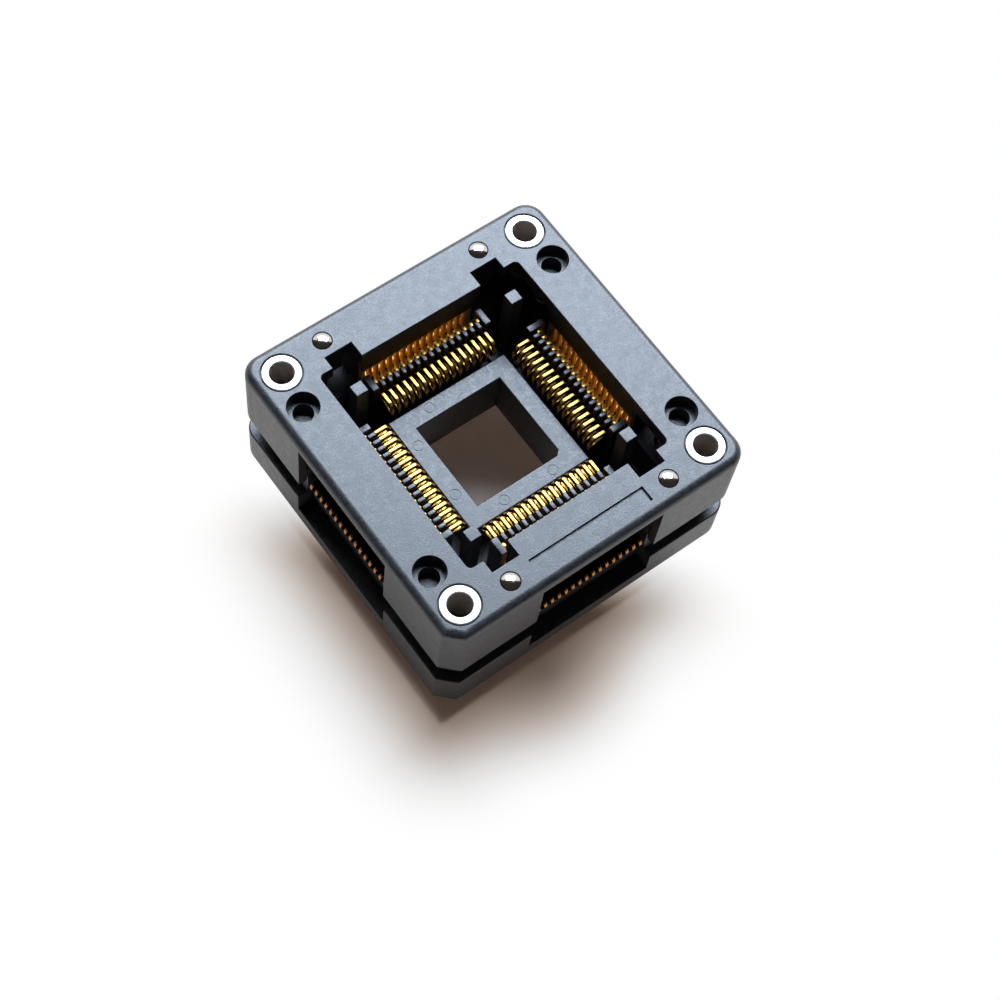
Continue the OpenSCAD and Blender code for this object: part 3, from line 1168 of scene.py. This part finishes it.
    def build(self) -> Piece:
        """Builds and dresses the cover.

        Returns:
            The piece.
        """
        solid = self.shell()
        for part in (self.bosses(), self.cams(), self.webs()):
            solid.join(part, Join.UNITE)
        window = Solid().mouth(fixed(self.window()), self.boss_z - PAST, self.top, self.window_edge_r)
        for cutter in (window, self.openings(), self.holes(), self.bores(), self.border()):
            solid.join(cutter, Join.CUT)
        made = solid.piece("moulded_cover", self.material)
        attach(made, "cover")
        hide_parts("cover")
        return made


# Contacts


@dataclass
class ContactRow:
    """One row of blanked contacts: fixed stems, bending hoops and the arms that swing."""

    side: Side
    plated: Material
    # Finish of the hoops: metal darkened as painted shade
    bare: Material
    count: int = 16
    pitch: float = 0.8
    thickness: float = 0.38
    width: float = 0.5
    edge_r: float = 0.09
    jaw_r: float = 7.3
    jaw_z: float = 9.68
    jaw_points: tuple[Point, ...] = ((0.0, -0.8), (0.3, -1.13), (1.5, -0.1), (1.3, 0.1))
    shelf_rise: float = 0.35
    shelf_from: Pair = (0.5, 1.15)
    stem_bends: tuple[float, ...] = (0.5, 0.5, 0.3, 0.3)
    toe: tuple[float, float, float] = (7.42, 10.0, 0.2)
    toe_turn: Range = (140.0, 330.0)
    nose_out: float = 7.82
    nose_fillet: float = 0.2
    bar_z: float = 10.95
    bar_t: float = 0.5
    bar_in: Pair = (7.92, 0.40)
    bar_in_turn: Range = (90.0, 190.0)
    bar_out: Pair = (9.1, 0.12)
    web_from: Pair = (0.6, 0.2)
    web_z: float = 10.15
    dip_z: float = 10.55
    dip_slant: float = 0.04
    hump_z: float = 11.4
    hump_r: Pair = (0.05, 0.18)
    lever_z: float = 11.6
    lever_r: float = 12.4
    lever_l: float = 1.0
    shoulder_r: float = 0.55
    beam_mid: float = 7.8
    foot_mid: float = 4.77
    stem_r: float = 9.62
    leg_r: float = 10.28
    leg_fillet: float = 0.15
    valley_bend: float = 0.9
    fillet_r: float = 0.4
    arm_end: float = 13.9
    foot_end: float = 13.5
    hoop_r: float = 16.3
    hoop_low_r: float = 14.8
    hoop_bend: float = 0.45
    hoop_steps: int = 14
    joint_gap: float = 0.02
    tail_r: float = 10.9
    tail_stagger: float = 2.0
    tail_z: float = -3.0
    tail_point: float = 0.5

    def places(self) -> list[float]:
        """Gives the place of each contact along the row."""
        return [(i - (self.count - 1) / 2) * self.pitch for i in range(self.count)]

    def row(self, *contacts: Solid) -> Solid:
        """Repeats contacts along the row.

        Args:
            contacts: One contact, or more that take turns.

        Returns:
            The row, on its side.
        """
        made = Solid()
        for k, one in enumerate(contacts):
            places = self.places()[k::len(contacts)]
            made.add(one, [self.side.turn @ Matrix.Translation((0, t, 0)) for t in places])
        return made

    def blank(self, outline: Outline) -> Solid:
        """Makes a part of a contact from its side view."""
        return Solid().plate(outline, self.thickness, self.edge_r)

    def lever_outline(self) -> Outline:
        """Gives the side view of an arm's lever, from the beam up, over and back down to it.

        Returns:
            The points as r and z.
        """
        w, f = self.width / 2, self.fillet_r
        above = self.beam_mid + w + f
        shoulder = (self.lever_r + self.shoulder_r, self.lever_z - w - self.shoulder_r)
        return (
            arc((self.lever_r + w + f, above), f, 270, 180, 5)
            + arc(shoulder, self.shoulder_r - w, 180, 90, 6)
            + arc((self.lever_r + self.lever_l, self.lever_z - w), w, -90, 90, 8)
            + arc(shoulder, self.shoulder_r + w, 90, 180, 8)
            + arc((self.lever_r - w - f, above), f, 0, -90, 5)
        )

    def bar_outline(self) -> Outline:
        """Gives the side view of an arm's inner end: the dip through the comb, bar, toe and underside.

        Returns:
            The points as r and z, from the leg inwards and back.
        """
        w = self.width / 2
        in_at, in_r = self.bar_in
        out_at, out_r = self.bar_out
        toe_at, toe_z, toe_r = self.toe
        web_a, web_b = self.web_from
        under, f = self.bar_z - self.bar_t, self.nose_fillet
        return (
            [(self.leg_r - w - self.dip_slant, self.dip_z), (out_at + self.dip_slant, self.dip_z)]
            + arc((out_at - out_r, self.bar_z - out_r), out_r, 0, 90, 5)
            + arc((in_at, self.bar_z - in_r), in_r, *self.bar_in_turn, 9)
            + arc((toe_at, toe_z), toe_r, *self.toe_turn, 10)
            + arc((self.nose_out + f, under - f), f, 180, 90, 5)
            + [(out_at - web_a, under), (out_at - web_b, self.web_z)]
        )

    def arm(self) -> Solid:
        """Makes one arm: beam, lever, leg with its hump, bar and nose.

        Returns:
            The solid.
        """
        w, f = self.width / 2, self.leg_fillet
        valley = (self.leg_r + self.valley_bend, self.beam_mid + self.valley_bend)
        hump_in, hump_out = self.hump_r
        leg = (
            arc(valley, self.valley_bend - w, 270, 180, 7)
            + arc((self.leg_r + w - hump_out, self.hump_z - hump_out), hump_out, 0, 90, 6)
            + arc((self.leg_r - w + hump_in, self.hump_z - hump_in), hump_in, 90, 180, 5)
        )
        leg_inside = arc((self.leg_r - w - f, self.web_z - f), f, 90, 0, 4)
        valley_outside = arc(valley, self.valley_bend + w, 180, 270, 9)
        end = [(self.arm_end, self.beam_mid - w), (self.arm_end, self.beam_mid + w)]
        return self.blank(end + self.lever_outline() + leg + self.bar_outline() + leg_inside + valley_outside)

    def hoop(self) -> Solid:
        """Makes one hoop, the part of a contact that bends.

        Returns:
            The solid.
        """
        start, end = self.arm_end + self.joint_gap, self.foot_end + self.joint_gap
        spine = [
            (start, self.beam_mid), (self.hoop_r, self.beam_mid), (self.hoop_low_r, self.foot_mid),
            (end, self.foot_mid),
        ]
        return self.blank(strip_outline(spine, (self.hoop_bend, self.hoop_bend), self.width, self.hoop_steps))

    def stem(self, tail_r: float) -> Solid:
        """Makes one stem: lower jaw, shelf, stem, foot and tail.

        Args:
            tail_r: Distance from the axis to its tail.

        Returns:
            The solid.
        """
        w = self.width / 2
        nose_r, nose_z = nose = (self.jaw_r + w, self.jaw_z - w)
        shelf = nose_z + self.shelf_rise
        step_a, step_b = self.shelf_from
        spine = [
            nose, (nose_r + step_a, nose_z), (nose_r + step_b, shelf), (self.stem_r, shelf),
            (self.stem_r, self.foot_mid), (self.foot_end, self.foot_mid),
        ]
        jaw = arc(nose, w, 90, 180, 8) + [(self.jaw_r + r, self.jaw_z + z) for r, z in self.jaw_points]
        jaw.append((nose_r + step_a, self.jaw_z))
        point = self.tail_z + self.tail_point
        tail = [
            (tail_r - w, point), (tail_r - w / 2, self.tail_z), (tail_r + w / 2, self.tail_z),
            (tail_r + w, point), (tail_r + w, self.foot_mid), (tail_r - w, self.foot_mid),
        ]
        made = self.blank(strip_outline(spine, self.stem_bends, self.width))
        for outline in (jaw, tail):
            made.join(self.blank(outline), Join.UNITE)
        return made

    def dress(self, solid: Solid, strip: Strip) -> Piece:
        """Makes a row into a piece that stands for its node.

        Args:
            solid: The row.
            strip: The part of the contacts that it shows.

        Returns:
            The piece.
        """
        node = f"{strip.word}_{self.side.word}"
        made = solid.piece(f"contact_{node}", self.bare if strip is Strip.HOOPS else self.plated)
        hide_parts(node)
        return made

    def build(self) -> list[Piece]:
        """Builds and dresses the three pieces of the row.

        Returns:
            The stems, the hoops and the arms.
        """
        swinging = f"contacts_{self.side.word}"
        inner, outer = (self.stem(self.tail_r + step) for step in (0.0, self.tail_stagger))
        stems = self.dress(self.row(inner, outer), Strip.STEMS)
        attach(stems, "base")
        hoops = self.dress(self.row(self.hoop()), Strip.HOOPS)
        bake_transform(hoops)
        arms = self.dress(self.row(self.arm()), Strip.ARMS)
        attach(arms, swinging)
        return [stems, hoops, arms]


# Base


@dataclass
class Base:
    """The moulded base: flange, towers, combs, posts and the platform under the chip."""

    envelope: Envelope
    material: Material
    contact: ContactRow
    flange_z: float = 4.5
    flange_notch_z: float = 1.9
    flange_notch_d: float = 1.8
    flange_open: float = 7.1
    flange_edge_r: float = 0.18
    tower_in: float = 6.93
    tower_gap: float = 1.05
    tower_z: float = 9.5
    tower_edge_r: float = 0.15
    trough_z: float = 2.0
    platform_half: float = 6.85
    platform_z: float = 9.12
    platform_edge_r: float = 0.12
    window: float = 4.91
    window_cut: float = 0.45
    cavity_half: float = 6.3
    cavity_z: float = 5.2
    core_half: float = 9.21
    comb_r: Range = (9.3, 10.05)
    comb_z: float = 11.78
    rib_end: float = 6.88
    end_rib_w: float = 0.65
    end_rib_r: Range = (9.6, 11.1)
    slot_w: float = 0.42
    slot_gap: float = 0.04
    well_z: float = 5.2
    well_out: float = 11.6
    post_r: float = 8.9
    post_w: float = 1.3
    post_foot: float = 0.2
    post_z: float = 15.05
    post_edge_r: float = 0.1
    guide_r: float = 0.925
    guide_z: float = 12.85
    guide_edge_r: float = 0.12
    pocket_r: float = 1.7
    pocket_z: float = 6.5
    sleeve_hole: float = 1.52
    sleeve_hole_z: float = 0.3
    rim_hole: float = 2.0
    rim_hole_z: float = 0.37
    shank_hole: float = 0.8
    hole_steps: int = 48
    shank_steps: int = 32
    edge_r: float = 0.06
    mark_r: float = 0.52
    mark_w: float = 0.09
    mark_d: float = 0.05
    mark_rise: float = 0.5
    mark_steps: int = 40
    mark_at: tuple[Point, ...] = ((-2.6, 6.05), (-5.85, 3.3), (-5.95, -2.8), (-2.5, -5.85), (3.2, -5.9))

    def combs(self) -> Solid:
        """Makes the ribs between the contacts on all four sides.

        Returns:
            The solid.
        """
        row = self.contact
        made = Solid()
        r0, r1 = self.comb_r
        half = (row.pitch - self.slot_w) / 2
        for t in row.places()[:-1]:
            gap = t + row.pitch / 2
            made.block((r0, gap - half, self.flange_z - SINK), (r1, gap + half, self.comb_z), self.edge_r)
        last = row.places()[-1] + self.slot_w / 2
        made.end_blocks(self.comb_r, (last, self.rib_end), (SINK, self.comb_z), self.edge_r)
        return made.on_all_sides()

    def end_ribs(self) -> Solid:
        """Makes the longer ribs at both ends of each comb."""
        t = (self.rib_end - self.end_rib_w, self.rib_end)
        return Solid().end_blocks(self.end_rib_r, t, (SINK, self.comb_z), self.edge_r).on_all_sides()

    def wells(self) -> Solid:
        """Makes the cutters of the deep wells round the corner posts.

        Returns:
            The cutters as one solid.
        """
        made = Solid()
        for corner in Corner:
            low, high = corner.square(self.rib_end, self.well_out)
            made.block((*low, self.well_z), (*high, self.post_z + PAST))
        return made

    def posts(self) -> Solid:
        """Makes the four tall posts at the corners of the combs.

        Returns:
            The solid.
        """
        made = Solid()
        for corner in Corner:
            low, high = corner.square(self.post_r - self.post_w / 2, self.post_r + self.post_w / 2)
            made.block((*low, self.post_foot), (*high, self.post_z), self.post_edge_r)
        return made

    def towers(self) -> Solid:
        """Makes the corner towers that hold sleeves and springs.

        Returns:
            The solid.
        """
        made = Solid()
        for corner in Corner:
            low, high = corner.square(self.tower_in, self.envelope.half)
            made.block((*low, self.flange_z - SINK), (*high, self.tower_z))
        plan = self.envelope.within(self.tower_gap)
        return made.join(Solid().prism(plan, 0, self.tower_z, 0, self.tower_edge_r), Join.COMMON)

    def body(self) -> Solid:
        """Joins the flange and everything that stands on it.

        Returns:
            The solid.
        """
        made = Solid().prism(self.envelope.plan, 0, self.flange_z, self.flange_edge_r, self.flange_edge_r)
        c, p = self.core_half, self.platform_half
        core = Solid().block((-c, -c, SINK), (c, c, self.trough_z))
        platform = fixed(rectangle(-p, -p, p, p))
        table = Solid().prism(platform, SINK, self.platform_z, 0, self.platform_edge_r)
        for part in (self.towers(), core, table, self.combs(), self.end_ribs()):
            made.join(part, Join.UNITE)
        made.join(self.wells(), Join.CUT)
        return made.join(self.posts(), Join.UNITE)

    def sockets(self) -> Solid:
        """Makes the cutters for sleeves, pins and springs.

        Returns:
            The cutters as one solid.
        """
        made = Solid()
        above = self.tower_z + PAST
        for corner in Corner:
            for fitting, radius, steps, low, high in (
                (Fitting.SLEEVE, self.sleeve_hole, self.hole_steps, self.sleeve_hole_z, above),
                (Fitting.SLEEVE, self.rim_hole, self.hole_steps, -PAST, self.rim_hole_z),
                (Fitting.PIN, self.shank_hole, self.shank_steps, self.flange_z - PAST, above),
                (Fitting.SPRING, self.pocket_r, self.hole_steps, self.pocket_z, above),
            ):
                made.prism(corner.circle(fitting, radius, steps), low, high)
        return made

    def guides(self) -> Solid:
        """Makes the posts inside the springs.

        Returns:
            The solid.
        """
        made = Solid()
        for corner in Corner:
            plan = corner.circle(Fitting.SPRING, self.guide_r, self.hole_steps)
            made.prism(plan, self.pocket_z - PAST, self.guide_z, 0, self.guide_edge_r)
        return made

    def slots(self) -> Solid:
        """Makes the cutters for the tails of all contacts.

        Returns:
            The cutters as one solid.
        """
        row = self.contact
        made = Solid()
        r, half = row.width / 2 + self.slot_gap, self.slot_w / 2
        for i, t in enumerate(row.places()):
            tail = row.tail_r + (i % 2) * row.tail_stagger
            made.block((tail - r, t - half, -PAST), (tail + r, t + half, self.flange_z + PAST))
        return made.on_all_sides()

    def notches(self) -> Solid:
        """Makes the cutters of the low stretches of the flange.

        Returns:
            The cutters as one solid.
        """
        half = self.envelope.half
        low = (half - self.flange_notch_d, -self.flange_open, self.flange_notch_z)
        high = (half + PAST, self.flange_open, self.flange_z + PAST)
        return Solid().block(low, high).on_all_sides()

    def marks(self) -> Solid:
        """Makes the cutters of the faint round marks on the platform.

        Returns:
            The cutters as one solid.
        """
        made = Solid()
        low, high = self.platform_z - self.mark_d, self.platform_z + self.mark_rise
        r0, r1 = self.mark_r - self.mark_w / 2, self.mark_r + self.mark_w / 2
        for place in self.mark_at:
            made.lathe(rectangle(r0, low, r1, high), place, self.mark_steps)
        return made

    def build(self) -> Piece:
        """Builds and dresses the base.

        Returns:
            The piece.
        """
        solid = self.body()
        solid.join(self.sockets(), Join.CUT)
        solid.join(self.guides(), Join.UNITE)
        w, cut, c = self.window, self.window_cut, self.cavity_half
        outline = [(-w, -w), (w - cut, -w), (w, -w + cut), (w, w), (-w, w)]
        window = Solid().mouth(fixed(outline), -PAST, self.platform_z, self.platform_edge_r)
        cavity = Solid().block((-c, -c, -PAST), (c, c, self.cavity_z))
        for cutter in (self.notches(), self.slots(), window, cavity, self.marks()):
            solid.join(cutter, Join.CUT)
        made = solid.piece("moulded_base", self.material)
        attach(made, "base")
        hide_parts("socket_base")
        return made


# Sleeves, pins and springs


@dataclass
class Sleeve:
    """A plated corner sleeve with a rim turned over at both ends."""

    corner: Corner
    material: Material
    hole_r: float = 1.16
    tube_r: float = 1.5
    rim_r: float = 1.9
    rim_t: float = 0.35
    mouth_r: float = 0.14
    edge_r: float = 0.14
    steps: int = 96

    def build(self) -> Piece:
        """Builds and dresses the sleeve.

        Returns:
            The piece.
        """
        node = self.corner.node(Fitting.SLEEVE)
        low, high = span(node)
        m, e = self.mouth_r, self.edge_r
        upper = (
            [(self.tube_r, high.z - self.rim_t)]
            + arc((self.rim_r - e, high.z - self.rim_t + e), e, -90, 0, 4)
            + arc((self.rim_r - e, high.z - e), e, 0, 90, 5)
            + arc((self.hole_r + m, high.z - m), m, 90, 180, 6)
        )
        lower = [(r, low.z + high.z - z) for r, z in reversed(upper)]
        solid = Solid().lathe(upper + lower, self.corner.axis(Fitting.SLEEVE), self.steps)
        made = solid.piece(f"plated_{node}", self.material)
        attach(made, "base")
        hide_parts(node)
        return made


@dataclass
class GuidePin:
    """A steel pin with a domed head in the cover and a shank that slides in the base."""

    corner: Corner
    material: Material
    head_r: float = 0.86
    shank_r: float = 0.75
    dome_h: float = 0.3
    dome_end: float = 89.5
    dome_steps: int = 12
    shoulder_z: float = 12.0
    shank_end_r: float = 0.1
    steps: int = 64

    def build(self) -> Piece:
        """Builds and dresses the pin.

        Returns:
            The piece.
        """
        node = self.corner.node(Fitting.PIN)
        low, high = span(node)
        ball = (self.head_r ** 2 + self.dome_h ** 2) / (2 * self.dome_h)
        edge = math.degrees(math.asin(self.head_r / ball))
        e = self.shank_end_r
        profile = (
            arc((self.shank_r - e, low.z + e), e, -90, 0, 4)
            + [(self.shank_r, self.shoulder_z), (self.head_r, self.shoulder_z)]
            + arc((0, high.z - ball), ball, 90 - edge, self.dome_end, self.dome_steps)
        )
        axis = self.corner.axis(Fitting.PIN)
        rings = [level(disc(r, self.steps, axis), z) for r, z in profile]
        made = Solid().skin(rings).piece(f"guide_{node}", self.material)
        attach(made, "cover")
        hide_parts(node)
        return made


@dataclass
class ReturnSpring:
    """A coil with a closed turn at each end, round a guide post of the base."""

    corner: Corner
    material: Material
    wire: float = 0.34
    turns: int = 7
    closed_share: float = 1.04
    gap: float = 0.1
    post_r: float = 0.925
    steps: int = 32
    sides: int = 14
    travel: float = 2.0

    def rise(self, turn: float, low: float, high: float) -> float:
        """Gives the height of the wire's middle.

        Args:
            turn: Turns from the lower end.
            low: Height at the lower end.
            high: Height at the upper end.

        Returns:
            The height.
        """
        closed = self.wire * self.closed_share
        if turn < 1:
            return low + closed * turn
        if turn > self.turns - 1:
            return high - closed * (self.turns - turn)
        return low + closed + (high - low - 2 * closed) * (turn - 1) / (self.turns - 2)

    def build(self) -> Piece:
        """Builds and dresses the spring, on a mesh of its own.

        Returns:
            The piece.
        """
        node = self.corner.node(Fitting.SPRING)
        low, high = span(node)
        axis = self.corner.axis(Fitting.SPRING)
        half = self.wire / 2
        section = disc(half, self.sides)
        rings = []
        for i in range(self.turns * self.steps + 1):
            a = 2 * math.pi * i / self.steps
            out = Vector((math.cos(a), math.sin(a), 0))
            z = self.rise(i / self.steps, low.z + half, high.z - half)
            centre = Vector((*axis, z)) + out * (self.post_r + self.gap + half)
            rings.append([centre + out * p + Vector((0, 0, q)) for p, q in section])
        made = Solid().skin(rings).piece(f"return_{node}", self.material)
        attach(made, "base")
        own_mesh(made)
        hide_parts(node)
        return made


# Studio


@dataclass
class Studio:
    """White floor and backdrop, a large cool light behind the socket, dim warm room and the camera."""

    floor_z: float = -3.0
    floor_r: float = 4000.0
    floor_steps: int = 96
    floor_colour: Colour = (0.93, 0.80, 0.67)
    floor_glow: Colour = (0.030, 0.019, 0.015)
    paper_roughness: float = 0.9
    paper_gloss: float = 0.1
    shade_tint: Colour = (1.0, 0.74, 0.56)
    tint_share: Range = (0.0, 0.6)
    mirror_fall: float = 3.0
    shade_at: Point = (-6.0, -19.0)
    shade_reach: Range = (-4.0, 13.0)
    near_reach: Range = (-4.0, 13.0)
    foot_half: float = 17.0
    foot_reach: Range = (0.0, 0.6)
    under_reach: Range = (-3.0, -1.6)
    lit_way: Point = (0.707, 0.707)
    lit_reach: Range = (-11.0, -2.0)
    sheet_r: float = 460.0
    sheet_h: float = 420.0
    sheet_turn: float = 62.0
    sheet_steps: int = 48
    light_way: Pair = (40.0, 51.0)
    light_distance: float = 400.0
    light_size: Pair = (440.0, 290.0)
    light_colour: Colour = (0.72, 0.84, 1.0)
    light_power: float = 4.25
    room: Colour = (0.034, 0.027, 0.024)
    eye: tuple[float, float, float] = (-61.13, -62.43, 175.81)
    azimuth: float = -45.748
    elevation: float = 63.970
    roll: float = 10.348
    focal_px: float = 1981.9
    frame_px: float = 1000.0
    sensor: float = 36.0
    nearest: float = 10.0

    @staticmethod
    def toward(azimuth: float, elevation: float) -> Vector:
        """Gives the direction to a place round the socket.

        Args:
            azimuth: Degrees from the front, towards the right.
            elevation: Degrees above the floor.

        Returns:
            The direction.
        """
        a, e = math.radians(azimuth), math.radians(elevation)
        return Vector((math.sin(a) * math.cos(e), -math.cos(a) * math.cos(e), math.sin(e)))

    def camera(self) -> None:
        """Places the camera."""
        back = self.toward(self.azimuth, self.elevation)
        right = (-back).cross(Vector((0, 0, 1))).normalized()
        up = right.cross(-back)
        turn = math.radians(self.roll)
        across = math.cos(turn) * right + math.sin(turn) * up
        above = math.cos(turn) * up - math.sin(turn) * right
        lens = bpy.data.cameras.new("camera")
        lens.sensor_width = self.sensor
        lens.lens = self.focal_px / self.frame_px * self.sensor
        lens.clip_start = self.nearest * MM
        made = linked("camera", lens)
        turned = Matrix((across, above, back)).transposed().to_4x4()
        made.matrix_world = Matrix.Translation(Vector(self.eye) * MM) @ turned
        bpy.context.scene.camera = made

    def light(self) -> None:
        """Places the large soft light, which faces the socket."""
        way = self.toward(180 - self.light_way[0], self.light_way[1])
        lamp = bpy.data.lights.new("window_light", "AREA")
        lamp.shape = "RECTANGLE"
        lamp.size, lamp.size_y = (s * MM for s in self.light_size)
        lamp.color = self.light_colour
        lamp.energy = self.light_power
        made = linked("window_light", lamp)
        made.location = way * self.light_distance * MM
        made.rotation_mode = "QUATERNION"
        made.rotation_quaternion = way.to_track_quat("Z", "Y")

    def surroundings(self) -> None:
        """Fills the room with dim warm light."""
        world = bpy.data.worlds.new("room")
        world.use_nodes = True
        background = world.node_tree.nodes["Background"]
        background.inputs["Color"].default_value = (*self.room, 1)
        background.inputs["Strength"].default_value = 1
        bpy.context.scene.world = world

    def whiteness(self, shader: Shader) -> Signal:
        """Adds the floor's share of plain white: none under the socket, little in its shade, all beyond.

        Args:
            shader: The floor's finish.

        Returns:
            The share.
        """
        plan = shader.axes()[:2]
        past = [shader.work(Maths.SUBTRACT, shader.size(v), self.foot_half * MM) for v in plan]
        outside = shader.length(*(shader.larger(v, 0.0) for v in past))
        from_shade = (shader.work(Maths.SUBTRACT, v, at * MM) for v, at in zip(plan, self.shade_at))
        shade = shader.length(*from_shade)
        toward_light = shader.work(Maths.ADD, *(shader.product(v, s) for v, s in zip(plan, self.lit_way)))
        near = shader.product(shader.soft(outside, self.near_reach), shader.soft(shade, self.shade_reach))
        near = shader.product(near, shader.soft(outside, self.foot_reach))
        edge = shader.soft(shader.larger(*past), self.under_reach)
        lit = shader.product(shader.soft(toward_light, self.lit_reach), edge)
        return shader.remainder(shader.product(shader.remainder(near), shader.remainder(lit)))

    def whiten(self, shader: Shader, share: Signal | float) -> Material:
        """Lets a share of plain white, a little warm where it is small, take the place of a finish.

        Args:
            shader: The finish.
            share: The share.

        Returns:
            The material.
        """
        rays = shader.node("LightPath").outputs
        seen = shader.larger(rays["Is Camera Ray"], rays["Is Transmission Ray"])
        mirrored = shader.product(rays["Is Glossy Ray"], shader.work(Maths.POWER, share, self.mirror_fall))
        white = shader.node("Emission")
        if not isinstance(share, float):
            tint = shader.between(share, self.shade_tint, (1, 1, 1), self.tint_share)
            shader.feed(tint, white.inputs["Color"])
        mix = shader.node("MixShader")
        shown = shader.larger(shader.product(seen, share), mirrored)
        for entry, output in zip(mix.inputs, (shown, shader.surface.outputs[0], white.outputs[0])):
            shader.feed(output, entry)
        shader.feed(mix.outputs[0], shader.tree.nodes["Material Output"].inputs["Surface"])
        return shader.material

    def paper(self, name: str) -> Shader:
        """Starts the matt finish of the floor and the backdrop.

        Args:
            name: Name of the material.

        Returns:
            The finish.
        """
        shader = Shader(name)
        shader.set(Base_Color=(*self.floor_colour, 1), Roughness=self.paper_roughness)
        shader.set(Specular_IOR_Level=self.paper_gloss)
        return shader

    def backdrop(self) -> None:
        """Puts up a curved white sheet far behind the socket, for metal to mirror."""
        bm = bmesh.new()
        shares = [2 * i / self.sheet_steps - 1 for i in range(self.sheet_steps + 1)]
        turns = [self.light_way[0] + self.sheet_turn * share for share in shares]
        places = [self.toward(180 - turn, 0) * self.sheet_r * MM for turn in turns]
        low, high = ([bm.verts.new((p.x, p.y, z * MM)) for p in places] for z in (self.floor_z, self.sheet_h))
        for i in range(self.sheet_steps):
            bm.faces.new((low[i], low[i + 1], high[i + 1], high[i]))
        made = meshed("backdrop", bm)
        bm.free()
        made.data.materials.append(self.whiten(self.paper("white_sheet"), 1.0))

    def floor(self) -> None:
        """Lays the floor under the contact tails: matt near the socket, plain white further out."""
        bm = bmesh.new()
        bmesh.ops.create_circle(bm, cap_ends=True, segments=self.floor_steps, radius=self.floor_r * MM)
        made = meshed("floor", bm)
        bm.free()
        shader = self.paper("white_floor")
        shader.set(Emission_Color=(*self.floor_glow, 1), Emission_Strength=1.0)
        made.data.materials.append(self.whiten(shader, self.whiteness(shader)))
        made.location.z = self.floor_z * MM

    def build(self) -> None:
        """Sets up the whole studio."""
        bpy.context.scene.view_settings.view_transform = "Standard"
        self.camera()
        self.light()
        self.surroundings()
        self.floor()
        self.backdrop()


def main() -> None:
    """Builds the socket's sub-assemblies in order and reports each piece."""
    logging.basicConfig(level=logging.INFO, format="%(name)s: %(message)s")
    Studio().build()
    plastic = MouldedPlastic().material()
    gold, hoop_metal = (m.material() for m in (GOLD_PLATE, SHADED_HOOP_METAL))
    plated, polished, wire = (m.material() for m in (PLATED_SLEEVE, POLISHED_STEEL, SPRING_WIRE))
    envelope = Envelope()
    rows = [ContactRow(side, gold, hoop_metal) for side in Side]
    pieces = [Base(envelope, plastic, rows[0]).build(), Cover(envelope, plastic).build()]
    for row in rows:
        pieces += row.build()
    for corner in Corner:
        pieces.append(Sleeve(corner, plated).build())
        pieces.append(GuidePin(corner, polished).build())
        pieces.append(ReturnSpring(corner, wire).build())
    for piece in pieces:
        LOG.info("%s: %d faces", piece.name, len(piece.data.polygons))


if __name__ == "__main__":
    main()
